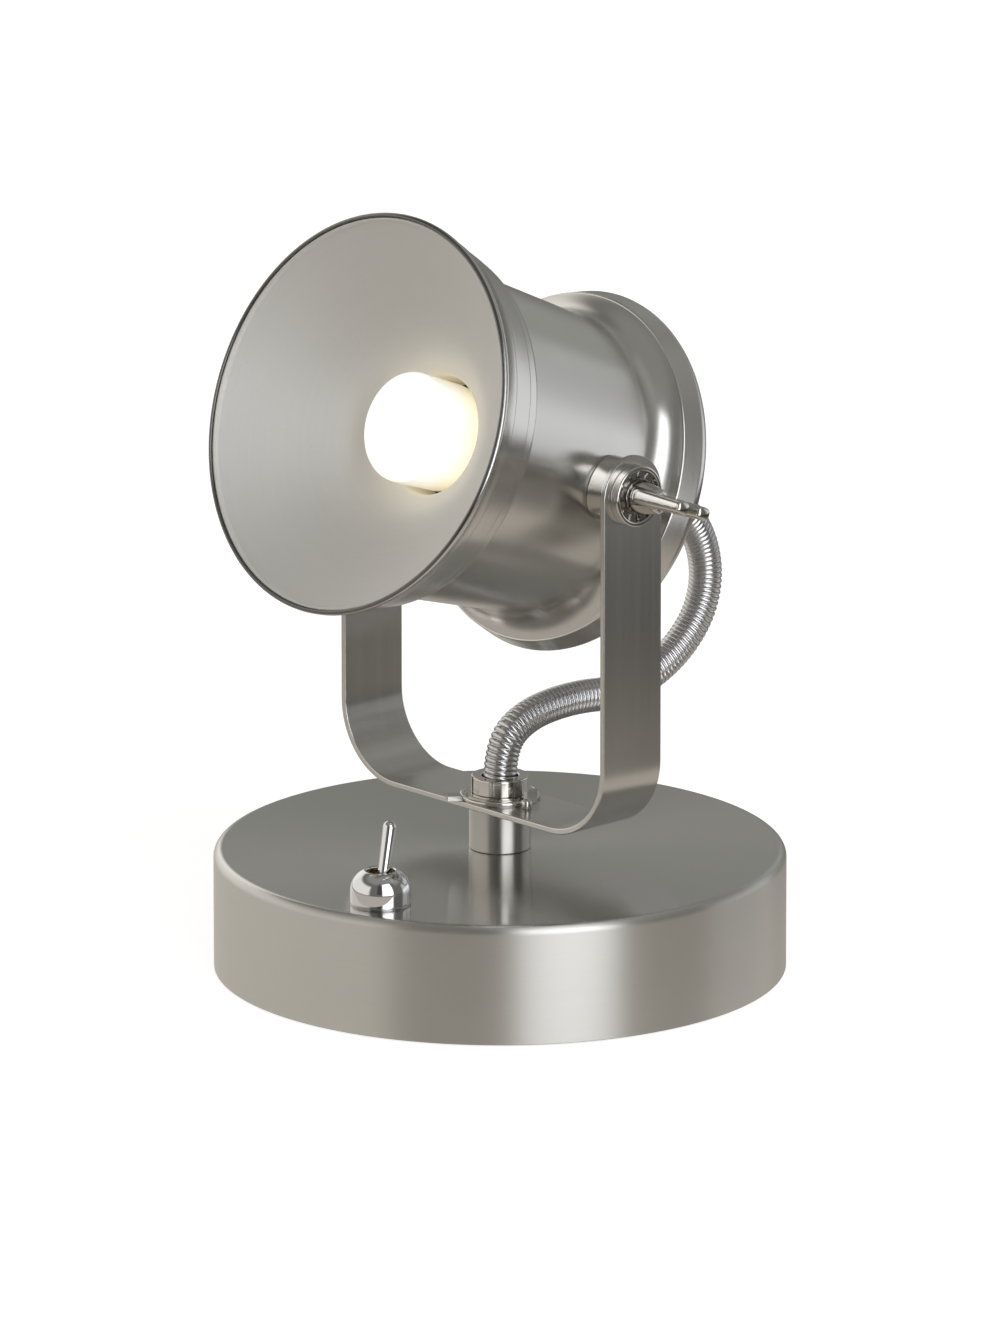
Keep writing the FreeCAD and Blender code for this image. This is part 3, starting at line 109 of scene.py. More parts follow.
# %% [markdown]
# ## The camera
# A long lens from four metres away, a little above the lamp and well round to its right,
# turns the circles of base and rim into calm ellipses.
# %% Camera
CAMERA_AZIMUTH = math.radians(46.83)      # round from the front of the lamp, towards +X
CAMERA_ELEVATION = math.radians(15.97)
CAMERA_DISTANCE = 4.0
CAMERA_TARGET = Vector((0, 0, 0.04))
LOOK_DOWN = math.radians(15.476)          # the lens points a little above the target
LENS = 442.6                              # for a 36 mm frame along the picture's long side

camera_data = bpy.data.cameras.new("camera")
camera_data.lens = LENS
camera_data.sensor_width = 36.0
camera_data.clip_start = 0.1
camera_data.clip_end = 50.0
camera = bpy.data.objects.new("camera", camera_data)
bpy.context.scene.collection.objects.link(camera)
outward = Vector((math.sin(CAMERA_AZIMUTH) * math.cos(CAMERA_ELEVATION),
                  -math.cos(CAMERA_AZIMUTH) * math.cos(CAMERA_ELEVATION),
                  math.sin(CAMERA_ELEVATION)))
camera.location = CAMERA_TARGET + outward * CAMERA_DISTANCE
camera.rotation_euler = (math.pi / 2 - LOOK_DOWN, 0, CAMERA_AZIMUTH)
bpy.context.scene.camera = camera

# %% [markdown]
# ## From a grid of points to a mesh
# Every new piece is a grid: one direction runs along a profile, the other round an axis or
# along a path.  Numpy works the whole grid out at once.  Where a profile meets its axis, all
# the points of that end lie in one place, and merging them closes the piece.
# %% Grid to mesh
def grid_piece(name, points, place=UPRIGHT, round_u=True, round_v=False):
    """A smooth mesh over points[u, v], a grid of places in millimetres.  A direction that is
    round joins its last row to its first."""
    rows, columns = points.shape[:2]
    index = np.arange(rows * columns).reshape(rows, columns)
    if round_u:
        index = np.vstack([index, index[:1]])
    if round_v:
        index = np.hstack([index, index[:, :1]])
    quads = np.stack([index[:-1, :-1], index[1:, :-1], index[1:, 1:], index[:-1, 1:]], -1)
    mesh = bpy.data.meshes.new(name)
    mesh.from_pydata(points.reshape(-1, 3).tolist(), [], quads.reshape(-1, 4).tolist())
    mesh.transform(place)
    return finished(name, mesh)


def finished(name, mesh):
    """Closes poles and seams, turns the faces outwards and puts the piece in the scene."""
    shell = bmesh.new()
    shell.from_mesh(mesh)
    bmesh.ops.remove_doubles(shell, verts=shell.verts, dist=1e-7)
    bmesh.ops.dissolve_degenerate(shell, edges=shell.edges, dist=1e-8)
    bmesh.ops.recalc_face_normals(shell, faces=shell.faces)
    for face in shell.faces:
        face.smooth = True
    shell.to_mesh(mesh)
    shell.free()
    piece = bpy.data.objects.new(name, mesh)
    bpy.context.scene.collection.objects.link(piece)
    return piece


# %% [markdown]
# ## Profiles
# A turned edge is never quite sharp, and it is the small rounding that catches the light.
# `eased` rounds the corners of a profile.  It also sets a point close to each end of the
# rounding, so that smooth shading leaves the flat faces beside it flat.
# %% Rounded profiles
def bow(start, via, end, steps):
    """Points on the circle through three points.  The centre is where the two perpendicular
    bisectors meet, and the angle runs from start over via to end."""
    start, via, end = (complex(*point) for point in (start, via, end))
    w = (end - start) / (via - start)
    centre = start + (via - start) * (w - abs(w) ** 2) / (2j * w.imag)
    first, middle, last = (np.angle(point - centre) for point in (start, via, end))
    turn = (last - first) % (2 * np.pi)
    if (middle - first) % (2 * np.pi) > turn:
        turn -= 2 * np.pi
    angles = first + turn * np.linspace(0, 1, steps + 1)
    arc = centre + abs(start - centre) * np.exp(1j * angles)
    return [(point.real, point.imag) for point in arc]


ARC_SHARE = 0.45          # the most of a side that a rounding takes
HOLD_SHARE = 0.04         # the most of a side between a rounding and the point that holds it


def eased(corners, radius, steps=4, hold=0.04, closed=True):
    """A profile whose corners are arcs tangent to both sides.  radius is one size for all
    corners, or one for each.  hold is how far the point beside each arc stands from it."""
    corners = [np.array(corner, float) for corner in corners]
    radii = radius if isinstance(radius, (list, tuple)) else [radius] * len(corners)
    out = []
    for k, corner in enumerate(corners):
        ends = not closed and k in (0, len(corners) - 1)
        before = corners[k - 1] - corner
        after = corners[(k + 1) % len(corners)] - corner
        a, b = np.linalg.norm(before), np.linalg.norm(after)
        if ends or radii[k] == 0:
            out.append(tuple(corner))
            continue
        before, after = before / a, after / b
        half = math.acos(np.clip(before @ after, -1, 1)) / 2
        reach = min(radii[k] / math.tan(half), ARC_SHARE * min(a, b))
        size = reach * math.tan(half)
        inwards = (before + after) / np.linalg.norm(before + after)
        middle = corner + inwards * size * (1 / math.sin(half) - 1)
        keep = min(hold, HOLD_SHARE * min(a, b))
        out.append(tuple(corner + before * (reach + keep)))
        out += bow(corner + before * reach, middle, corner + after * reach, steps)
        out.append(tuple(corner + after * (reach + keep)))
    return out


def sheet_section(path, thickness, round_end=4):
    """Closed section of a sheet: the path, a half round at its start, and the path moved
    inwards along its normals by the thickness."""
    path = np.array(path, float)
    along = np.gradient(path, axis=0)
    along /= np.linalg.norm(along, axis=1)[:, None]
    inner = path + thickness * np.stack([along[:, 1], -along[:, 0]], 1)
    lip = (path[0] + inner[0]) / 2 - along[0] * thickness / 2
    rounded = bow(inner[0], lip, path[0], 2 * round_end)[1:-1]
    return [tuple(p) for p in path] + [tuple(p) for p in inner[::-1]] + rounded


def lathe(name, profile, place=UPRIGHT, turns=128, closed=True):
    """A surface of revolution: S(u, v) = (r(v) cos u, r(v) sin u, z(v)), with the profile
    given as (r, z).  A closed profile makes a ring; an open one runs from axis to axis."""
    r, z = np.array(profile, float).T
    u = np.arange(turns) * 2 * np.pi / turns
    points = np.stack([np.outer(np.cos(u), r), np.outer(np.sin(u), r),
                       np.tile(z, (turns, 1))], -1)
    return grid_piece(name, points, place, round_v=closed)


# %% [markdown]
# ## Pieces that stay as they are
# Small parts such as nuts, the stop washer and the wiring already have the right shape in
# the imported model, but as loose flat triangles.  A merged copy with smooth normals, weighted
# by area so that flats stay flat, reflects like metal.
# %% Smooth copies
SHARP_EDGE = math.radians(32)


def smooth_copy(node, body):
    """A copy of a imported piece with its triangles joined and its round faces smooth."""
    mesh = frame["nodes"][node].data.copy()
    mesh.name = node + "_smooth"
    mesh.materials.clear()
    piece = finished(node + "_smooth", mesh)
    mesh.set_sharp_from_angle(angle=SHARP_EDGE)
    weighted = piece.modifiers.new("weighted", "WEIGHTED_NORMAL")
    weighted.keep_sharp = True
    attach(piece, body)
    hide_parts(node)
    return piece


# %% [markdown]
# ## The hose
# A spring hose is one steel wire wound tight.  Its line is a smooth curve through the points
# where the hose turns, from the collar nut on the swivel up to the gland behind the head.
# It comes first, because its room decides where everything else may be.
# %% Line of the hose
HOSE_RADIUS = 4.15
HOSE_LEAD = 58.0          # last corner behind the head's middle, on its axis
HOSE_TIP = 45.3
HOSE_START = 46.05
WIRE_PITCH = 1.25
WIRE_DEPTH = 0.55


def behind_head(distance):
    """A point on the head's axis, behind its middle."""
    point = Vector((0, 0, HEAD_HEIGHT)) - Vector(HEAD_AXIS) * distance
    return point.y, point.z


hose_route = [
    (0.0, HOSE_START), (0.0, 55.6), (8.3, 61.9), (23.8, 63.5), (40.8, 61.5), (56.4, 66.3),
    (67.2, 75.8), (70.2, 88.0), (65.3, 100.9), behind_head(HOSE_LEAD), behind_head(HOSE_TIP),
]
hose_curve = bpy.data.curves.new("hose_line", "CURVE")
hose_curve.dimensions = "3D"
hose_curve.resolution_u = 32
spline = hose_curve.splines.new("NURBS")
spline.points.add(len(hose_route) - 1)
for point, (y, z) in zip(spline.points, hose_route):
    point.co = (0, y / 1000, z / 1000, 1)
spline.order_u = 3
spline.use_endpoint_u = True
hose_line = bpy.data.objects.new("hose_line", hose_curve)
bpy.context.scene.collection.objects.link(hose_line)
line_mesh = bpy.data.meshes.new_from_object(hose_line)
route = np.array([vertex.co for vertex in line_mesh.vertices], float)
bpy.data.objects.remove(hose_line)
bpy.data.meshes.remove(line_mesh)
steps = np.linalg.norm(np.diff(route, axis=0), axis=1)
travelled = np.concatenate([[0], np.cumsum(steps)])
print("hose line", round(1000 * travelled[-1], 1), "mm")


# %% [markdown]
# The wire's turns are a wave in the tube's radius.  Its phase grows along the hose, and by
# one whole turn round it, so each crest is a helix, and the turns fan out on the outside of
# a bend as wound wire does.
# %% Wound tube
def wound_tube(name, line, distance, samples_per_turn=9, around=36):
    """Tube about a line in the YZ plane.  r = R - d (1 - sqrt(1 - w^2)), where w runs from
    -1 to 1 across one wire and its phase is s / pitch + u / 2 pi."""
    length = distance[-1]
    count = int(length * 1000 / WIRE_PITCH * samples_per_turn)
    s = np.linspace(0, length, count)
    centre = np.stack([np.interp(s, distance, line[:, k]) for k in range(3)], 1)
    along = np.gradient(centre, axis=0)
    along /= np.linalg.norm(along, axis=1)[:, None]
    aside = np.array([1.0, 0.0, 0.0])
    upward = np.cross(along, aside)
    u = np.arange(around) * 2 * np.pi / around
    phase = s[None, :] * 1000 / WIRE_PITCH + u[:, None] / (2 * np.pi)
    across = 2 * (phase % 1) - 1
    r = HOSE_RADIUS - WIRE_DEPTH * (1 - np.sqrt(np.clip(1 - across ** 2, 0, 1)))
    r[:, 0] = r[:, -1] = 0
    points = (centre[None] * 1000 + r[..., None] * (np.cos(u)[:, None, None] * aside
                                                    + np.sin(u)[:, None, None] * upward[None]))
    return grid_piece(name, points)


hose = wound_tube("hose_coils", route, travelled)
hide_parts("hose")
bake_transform(hose)
print("hose faces", len(hose.data.polygons))

# %% [markdown]
# ## Helpers for materials
# Materials are node trees.  These helpers add one node and return its output, so a formula
# reads from left to right.
# %% Node helpers
def put(tree, kind, inputs=(), **settings):
    """Adds a node, sets its properties, and feeds its inputs from values or sockets."""
    node = tree.nodes.new(kind)
    for key, value in settings.items():
        setattr(node, key, value)
    pairs = inputs.items() if isinstance(inputs, dict) else enumerate(inputs)
    for key, value in pairs:
        if isinstance(value, bpy.types.NodeSocket):
            tree.links.new(value, node.inputs[key])
        elif value is not None:
            node.inputs[key].default_value = value
    return node


def calc(tree, operation, *values):
    """One arithmetic step."""
    return put(tree, "ShaderNodeMath", values, operation=operation).outputs[0]


def vector(tree, operation, *values):
    """One step with vectors.  Lengths and dot products come out as the second output."""
    node = put(tree, "ShaderNodeVectorMath", values, operation=operation)
    return node.outputs["Value" if operation in ("LENGTH", "DOT_PRODUCT") else "Vector"]


def ramp(tree, value, low, high, to_low=0.0, to_high=1.0):
    """A value that eases from to_low to to_high as another goes from low to high."""
    node = put(tree, "ShaderNodeMapRange", (value, low, high, to_low, to_high), clamp=True,
               interpolation_type="SMOOTHSTEP")
    return node.outputs[0]


def blend_colours(tree, share, first, second):
    """Two colours mixed by a share."""
    node = put(tree, "ShaderNodeMix", {0: share, 6: first, 7: second}, data_type="RGBA")
    return node.outputs[2]


def effect_group(name, inputs, outputs):
    """An empty node group with named sockets, its input node and its output node."""
    group = bpy.data.node_groups.new(name, "ShaderNodeTree")
    for label, kind, value in inputs:
        socket = group.interface.new_socket(label, in_out="INPUT", socket_type=kind)
        socket.default_value = value
    for label, kind in outputs:
        group.interface.new_socket(label, in_out="OUTPUT", socket_type=kind)
    given = group.nodes.new("NodeGroupInput").outputs
    result = group.nodes.new("NodeGroupOutput").inputs
    return group, given, result


# %% [markdown]
# ## Lathe grain
# Brushing on a spun piece runs round its axis.  The grain is noise looked up by distance
# from the axis and distance along it, and hardly at all by angle, so it comes out as fine
# rings.  The group gives the rings as a tone and as a bumped normal, and the distance along
# the axis for those who need it.
# %% Lathe grain group
FLOAT = "NodeSocketFloat"
VECTOR = "NodeSocketVector"
COLOUR = "NodeSocketColor"
GRAIN_HEIGHT = 0.0002     # of the bump at full depth, in metres
GRAIN_DRIFT = 14.0        # how fast the rings change round the axis

grain, given, result = effect_group(
    "lathe_grain",
    [("Axis", VECTOR, Z_AXIS), ("Centre", VECTOR, (0, 0, 0)), ("Rings per metre", FLOAT, 900.0),
     ("Depth", FLOAT, 0.05)],
    [("Rings", FLOAT), ("Normal", VECTOR), ("Along", FLOAT)])
place = put(grain, "ShaderNodeTexCoord").outputs["Object"]
arm = vector(grain, "SUBTRACT", place, given["Centre"])
along = vector(grain, "DOT_PRODUCT", arm, given["Axis"])
radial = vector(grain, "SUBTRACT", arm, vector(grain, "SCALE", given["Axis"], None, None, along))
radius = vector(grain, "LENGTH", radial)
ring_place = put(grain, "ShaderNodeCombineXYZ",
                 (calc(grain, "MULTIPLY", radius, given["Rings per metre"]),
                  calc(grain, "MULTIPLY", along, given["Rings per metre"]), 0.0))
drift = put(grain, "ShaderNodeSeparateXYZ",
            (vector(grain, "SCALE", radial, None, None, GRAIN_DRIFT),)).outputs
grain.links.new(drift[0], ring_place.inputs[2])
rings = put(grain, "ShaderNodeTexNoise",
            {"Vector": ring_place.outputs[0], "W": calc(grain, "ADD", drift[1], drift[2]),
             "Scale": 1.0, "Detail": 2.0, "Roughness": 0.6}, noise_dimensions="4D")
bump = put(grain, "ShaderNodeBump", {"Strength": given["Depth"], "Distance": GRAIN_HEIGHT,
                                     "Height": rings.outputs[0]})
grain.links.new(rings.outputs[0], result["Rings"])
grain.links.new(bump.outputs[0], result["Normal"])
grain.links.new(along, result["Along"])

# %% [markdown]
# ## Straight grain
# The yoke is cut from brushed strip, so its grain runs straight along the strip.  The group
# stretches noise by a scale for each direction.
# %% Straight grain group
straight, given, result = effect_group(
    "straight_grain",
    [("Scale", VECTOR, (40.0, 1500.0, 40.0)), ("Depth", FLOAT, 0.05)],
    [("Lines", FLOAT), ("Normal", VECTOR)])
place = put(straight, "ShaderNodeTexCoord").outputs["Object"]
lines = put(straight, "ShaderNodeTexNoise",
            {"Vector": vector(straight, "MULTIPLY", place, given["Scale"]),
             "Scale": 1.0, "Detail": 1.5, "Roughness": 0.5})
bump = put(straight, "ShaderNodeBump", {"Strength": given["Depth"], "Distance": GRAIN_HEIGHT,
                                        "Height": lines.outputs[0]})
straight.links.new(lines.outputs[0], result["Lines"])
straight.links.new(bump.outputs[0], result["Normal"])

# %% [markdown]
# ## Handling
# No metal stays perfectly clean.  Broad soft clouds stand for the thin film that hands
# leave, and a few small specks for dust.  Specks lie in a cell noise: a small disc in the
# middle of the few cells whose random value is highest.
# %% Handling group
SPECK_DISC = (0.10, 0.22)     # from full to nothing, in cells
SPECK_CHOICE = (0.93, 0.97)   # random values at which a cell gets its speck
FILM_CLOUDS = (0.35, 0.70)    # noise values between which the film thickens

handling, given, result = effect_group(
    "handling",
    [("Cloud scale", FLOAT, 45.0), ("Speck scale", FLOAT, 900.0), ("Speck amount", FLOAT, 0.2)],
    [("Film", FLOAT), ("Specks", FLOAT)])
place = put(handling, "ShaderNodeTexCoord").outputs["Object"]
cloud = put(handling, "ShaderNodeTexNoise", {"Vector": place, "Scale": given["Cloud scale"],
                                             "Detail": 4.0, "Roughness": 0.55, "Distortion": 0.4})
cells = put(handling, "ShaderNodeTexVoronoi", {"Vector": place, "Scale": given["Speck scale"]})
near = ramp(handling, cells.outputs["Distance"], *SPECK_DISC, 1.0, 0.0)
cell_value = put(handling, "ShaderNodeSeparateColor", (cells.outputs["Color"],)).outputs[0]
chosen = ramp(handling, cell_value, *SPECK_CHOICE)
specks = calc(handling, "MULTIPLY", calc(handling, "MULTIPLY", near, chosen),
              given["Speck amount"])
handling.links.new(ramp(handling, cloud.outputs[0], *FILM_CLOUDS), result["Film"])
handling.links.new(specks, result["Specks"])


# %% [markdown]
# ## Metal
# One function makes every bare metal here.  A Principled shader takes its colour and its
# roughness from a grain and the handling group.  For spun pieces the highlight is also drawn
# out along the profile: the tangent runs round the axis, and a quarter turn of rotation
# stretches the highlight across the brushing, as real brushing does.
# %% Metal material
DUST = (0.50, 0.48, 0.45, 1)
# Painted shade: the lip of the head is coloured dark, standing in for the shadow in the gap
# between shell and reflector.
LIP_SHADE = (0.17, 0.165, 0.16, 1)
LIP_SHADE_FADE = 0.0001         # metres over which the painted shade at the lip fades in
POLISH_FADE = 0.0006      # metres over which the brushing gives way to the polish
POLISH = 0.42             # roughness left where a piece is polished, as a share


def around_axis(tree, axis, centre):
    """The direction round an axis at each point, in world space, so that it follows a pose."""
    place = put(tree, "ShaderNodeTexCoord").outputs["Object"]
    arm = vector(tree, "SUBTRACT", place, centre)
    turn = vector(tree, "CROSS_PRODUCT", axis, arm)
    node = put(tree, "ShaderNodeVectorTransform", (turn,), vector_type="VECTOR",
               convert_from="OBJECT", convert_to="WORLD")
    return node.outputs[0]


def use_group(tree, group, values):
    """Places a group in a tree with its own values."""
    return put(tree, "ShaderNodeGroup", values, node_tree=group).outputs


def new_material(name):
    """A material with only a Principled shader, its tree and that shader."""
    material = bpy.data.materials.new(name)
    material.use_nodes = True
    tree = material.node_tree
    return material, tree, tree.nodes["Principled BSDF"]


def metal(name, colour, roughness, grain_of=None, depth=0.05, rings=900.0, stretch=0.0,
          tone=0.10, film=0.05, axis=Z_AXIS, centre=(0, 0, 0), lines=None, specks=0.2,
          polished_above=None, shaded_beyond=None):
    """Bare metal.  roughness is (clean, extra in the grain).  Above a height it may be
    polished, as the top of the drum is, and beyond a distance along the axis it gets a dark
    painted shade, as the lip of the head does, in place of the shadow between shell and
    reflector."""
    material, tree, shader = new_material(name)
    if grain_of is straight:
        grained = use_group(tree, straight, {"Scale": lines, "Depth": depth})
    else:
        grained = use_group(tree, grain, {"Axis": axis, "Centre": centre,
                                          "Rings per metre": rings, "Depth": depth})
    handled = use_group(tree, handling, {"Speck amount": specks})
    dark = tuple(c * (1 - tone) for c in colour) + (1,)
    light = tuple(min(1, c * (1 + tone)) for c in colour) + (1,)
    base = blend_colours(tree, grained[0], dark, light)
    base = blend_colours(tree, handled["Specks"], base, DUST)
    # Painted shade: beyond a distance along the axis the colour turns dark.
    if shaded_beyond:
        shaded_lip = ramp(tree, grained["Along"], shaded_beyond, shaded_beyond + LIP_SHADE_FADE)
        base = blend_colours(tree, shaded_lip, base, LIP_SHADE)
    rough = calc(tree, "MULTIPLY_ADD", grained[0], roughness[1], roughness[0])
    rough = calc(tree, "MULTIPLY_ADD", handled["Film"], film, rough)
    if polished_above:
        place = put(tree, "ShaderNodeTexCoord").outputs["Object"]
        height = put(tree, "ShaderNodeSeparateXYZ", (place,)).outputs[2]
        shine = ramp(tree, height, polished_above - POLISH_FADE, polished_above, 1.0, POLISH)
        rough = calc(tree, "MULTIPLY", rough, shine)
    tree.links.new(base, shader.inputs["Base Color"])
    tree.links.new(rough, shader.inputs["Roughness"])
    tree.links.new(grained["Normal"], shader.inputs["Normal"])
    shader.inputs["Metallic"].default_value = 1.0
    if stretch:
        shader.inputs["Anisotropic"].default_value = stretch
        if grain_of is straight:
            across = put(tree, "ShaderNodeVectorTransform", ((0, 1, 0),), vector_type="VECTOR",
                         convert_from="OBJECT", convert_to="WORLD")
            tree.links.new(across.outputs[0], shader.inputs["Tangent"])
        else:
            shader.inputs["Anisotropic Rotation"].default_value = 0.25
            tree.links.new(around_axis(tree, axis, centre), shader.inputs["Tangent"])
    return material


# %% [markdown]
# The lamp's steel has a warm nickel plating.  It is brushed round on the drum, more smoothly
# on the head, and straight along the strip.  The stem is a little darker, the turned hardware
# is polished, and the stop washer is as it left the press.  The reflector is satin.  Switch,
# hose, toothed washers, fixings and contacts are of other metals.
# %% Nickel finishes
NICKEL = (0.63, 0.618, 0.592)
LIP_SHADE_START = 0.0508         # metres along the head's axis, where the painted shade at the lip begins
ON_HEAD = {"axis": HEAD_AXIS, "centre": HEAD_CENTRE}
FINE_GRAIN = {"depth": 0.02, "tone": 0.03, "film": 0.03}

brushed_drum = metal("brushed_drum", NICKEL, (0.36, 0.06), rings=1600.0, stretch=0.92,
                     polished_above=BASE_TOP / 1000, **FINE_GRAIN)
brushed_head = metal("brushed_head", NICKEL, (0.21, 0.05), rings=1600.0, stretch=0.6,
                     shaded_beyond=LIP_SHADE_START, **ON_HEAD, **FINE_GRAIN)
turned_stem = metal("turned_stem", (0.48, 0.468, 0.442), (0.28, 0.05), rings=1600.0,
                    stretch=0.6, **FINE_GRAIN)
satin_cone = metal("satin_cone", (0.75, 0.738, 0.715), (0.74, 0.05), rings=1500.0,
                   stretch=0.2, **ON_HEAD, **FINE_GRAIN)
brushed_strip = metal("brushed_strip", (0.61, 0.598, 0.57), (0.23, 0.05), grain_of=straight,
                      lines=(6.0, 700.0, 6.0), stretch=0.5, depth=0.006, tone=0.03,
                      film=0.0, specks=0.05)
polished = metal("polished_nickel", (0.60, 0.58, 0.545), (0.07, 0.05), rings=2500.0,
                 depth=0.02, tone=0.04, film=0.04, centre=HEAD_CENTRE)
pressed = metal("pressed_nickel", (0.52, 0.505, 0.475), (0.22, 0.08), depth=0.02, tone=0.06)

# %% [markdown]
# Chrome is whiter than nickel and has hardly any grain.  The hose's spring steel is cooler in
# colour, and the toothed washers are much darker.  The fixings inside are zinc plated, and the
# contacts are brass.
# %% Other metals
chrome = metal("mirror_chrome", (0.69, 0.69, 0.70), (0.03, 0.02), rings=3000.0, depth=0.0,
               tone=0.01, film=0.02)
hose_steel = metal("hose_steel", (0.56, 0.553, 0.56), (0.16, 0.08), rings=600.0, depth=0.0,
                   film=0.08)
spring_steel = metal("spring_steel", (0.33, 0.315, 0.29), (0.16, 0.08), depth=0.02)
zinc = metal("zinc_steel", (0.50, 0.51, 0.52), (0.32, 0.10), rings=400.0)
brass = metal("turned_brass", (0.70, 0.52, 0.26), (0.22, 0.10), rings=2500.0, depth=0.04)


# %% [markdown]
# ## Plain stuffs
# What isn't bare metal is cast, moulded or pressed.  Noise in the colour, the roughness and
# a small bump keep each from looking like one flat paint.
# %% Cast, moulded and pressed
STUFF_HEIGHT = 0.0003     # of the bump at full depth, in metres
STUFF_DULLING = 0.15      # extra roughness where the grain is high


def stuff(name, colour, roughness, scale, bump_depth, tone=0.15, **sockets):
    """A matt material with a fine grain of its own scale."""
    material, tree, shader = new_material(name)
    place = put(tree, "ShaderNodeTexCoord").outputs["Object"]
    noise = put(tree, "ShaderNodeTexNoise", {"Vector": place, "Scale": scale, "Detail": 5.0,
                                             "Roughness": 0.6}).outputs[0]
    dark = tuple(c * (1 - tone) for c in colour) + (1,)
    light = tuple(min(1, c * (1 + tone)) for c in colour) + (1,)
    tree.links.new(blend_colours(tree, noise, dark, light), shader.inputs["Base Color"])
    rough = calc(tree, "MULTIPLY_ADD", noise, STUFF_DULLING, roughness)
    tree.links.new(rough, shader.inputs["Roughness"])
    raised = put(tree, "ShaderNodeBump", {"Strength": bump_depth, "Distance": STUFF_HEIGHT,
                                          "Height": noise})
    tree.links.new(raised.outputs[0], shader.inputs["Normal"])
    for key, value in sockets.items():
        shader.inputs[key.replace("_", " ")].default_value = value
    return material


cast_iron = stuff("cast_iron", (0.06, 0.06, 0.065), 0.55, 700.0, 0.6, Metallic=0.4)
felt = stuff("black_felt", (0.025, 0.025, 0.027), 0.85, 2600.0, 0.8, tone=0.5)
black_plastic = stuff("black_plastic", (0.022, 0.022, 0.024), 0.38, 1500.0, 0.15)
white_plastic = stuff("white_plastic", (0.74, 0.73, 0.70), 0.35, 900.0, 0.08, tone=0.04)
wire_sleeve = stuff("wire_sleeve", (0.06, 0.11, 0.24), 0.28, 500.0, 0.05)
ceramic = stuff("holder_ceramic", (0.80, 0.78, 0.73), 0.45, 1200.0, 0.10, tone=0.05)

# %% [markdown]
# ## The lit bulb
# An opal bulb glows all over, white at its dome and creamy towards the neck, where the
# light comes through more glass.  The glow is emission that depends on the distance along
# the head's axis.  Where the glass turns away from the eye it is dimmer, and Layer Weight
# tells where that is.
# %% Opal glass
GLOW_NECK = 0.018         # distances in front of the head's middle, in metres
GLOW_DOME = 0.031
CREAM_GLOW = (0.80, 0.70, 0.46, 1)
WHITE_GLOW = (1.0, 0.97, 0.90, 1)
GLOW_TURN = (0.35, 0.95)      # how far the glass turns away before and after it dims
GLOW_STRENGTH = (0.95, 0.40)  # facing the eye, and turned away from it
opal, tree, shader = new_material("opal_glass")
place = put(tree, "ShaderNodeTexCoord").outputs["Object"]
forward = vector(tree, "DOT_PRODUCT", vector(tree, "SUBTRACT", place, HEAD_CENTRE), HEAD_AXIS)
glow = blend_colours(tree, ramp(tree, forward, GLOW_NECK, GLOW_DOME), CREAM_GLOW, WHITE_GLOW)
frost = put(tree, "ShaderNodeTexNoise", {"Vector": place, "Scale": 400.0, "Detail": 3.0})
turned_away = put(tree, "ShaderNodeLayerWeight", {"Blend": 0.5}).outputs["Facing"]
tree.links.new(ramp(tree, turned_away, *GLOW_TURN, *GLOW_STRENGTH),
               shader.inputs["Emission Strength"])
tree.links.new(glow, shader.inputs["Emission Color"])
tree.links.new(calc(tree, "MULTIPLY_ADD", frost.outputs[0], 0.1, 0.18),
               shader.inputs["Roughness"])
shader.inputs["Base Color"].default_value = (0.62, 0.59, 0.50, 1)

# %% [markdown]
# ## The base
# A drum pressed from sheet: flat top, a small radius, a straight side and an open bottom.
# The profile runs from the axis under the ceiling, down inside the wall, up the outside and
# back to the axis over the top.
# %% Drum
BASE_RADIUS = 70.0
BASE_WALL = 1.2
BASE_EDGE = 2.2
SHELL_LIFT = 0.5


def ride_and_finish(piece, body, material, slot, *nodes):
    """Fixes a piece to its body, gives it its finish, and hides the imported nodes it stands for.
    """
    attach(piece, body)
    piece.data.materials.clear()
    piece.data.materials.append(material)
    if nodes:
        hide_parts(*nodes)
    return piece


inner = BASE_RADIUS - BASE_WALL
drum_profile = eased(
    [(0, BASE_TOP - BASE_WALL), (inner, BASE_TOP - BASE_WALL), (inner, SHELL_LIFT),
     (BASE_RADIUS, SHELL_LIFT), (BASE_RADIUS, BASE_TOP), (0, BASE_TOP)],
    [0, BASE_EDGE - BASE_WALL, 0.2, 0.25, BASE_EDGE, 0], steps=10, closed=False)
drum = lathe("base_drum", drum_profile, turns=256, closed=False)

ride_and_finish(drum, "base", brushed_drum, "brushed_nickel", "base_shell")
print("drum faces", len(drum.data.polygons))

# %% [markdown]
# ## The stem and the swivel stack
# The stem is a turned spacer.  On it turns the yoke, held down by the stop washer, a thin
# spring washer and the collar nut that takes the end of the hose.
# %% Stem, washer and collar nut
STEM_RADIUS = 7.55
STEM_TOP = 41.2
NIPPLE_RADIUS = 5.0
COLLAR_BOTTOM = 44.4
COLLAR_TOP = 48.5
COLLAR_RADIUS = 7.05
COLLAR_MOUTH = 4.45
NIPPLE_TOP = 46.0

stem = lathe("stem_turned",
             eased([(NIPPLE_RADIUS, BASE_TOP), (STEM_RADIUS, BASE_TOP),
                    (STEM_RADIUS, STEM_TOP), (NIPPLE_RADIUS, STEM_TOP)], 0.3))
ride_and_finish(stem, "base", turned_stem, "brushed_nickel", "stem")
collar = lathe("collar_nut_turned",
               eased([(NIPPLE_RADIUS, COLLAR_BOTTOM), (COLLAR_RADIUS, COLLAR_BOTTOM),
                      (COLLAR_RADIUS, COLLAR_TOP), (COLLAR_MOUTH, COLLAR_TOP),
                      (COLLAR_MOUTH, NIPPLE_TOP), (NIPPLE_RADIUS, NIPPLE_TOP)],
                     [0.1, 0.25, 0.35, 0.35, 0.1, 0]))
ride_and_finish(collar, "base", polished, "polished_nickel", "collar_nut")

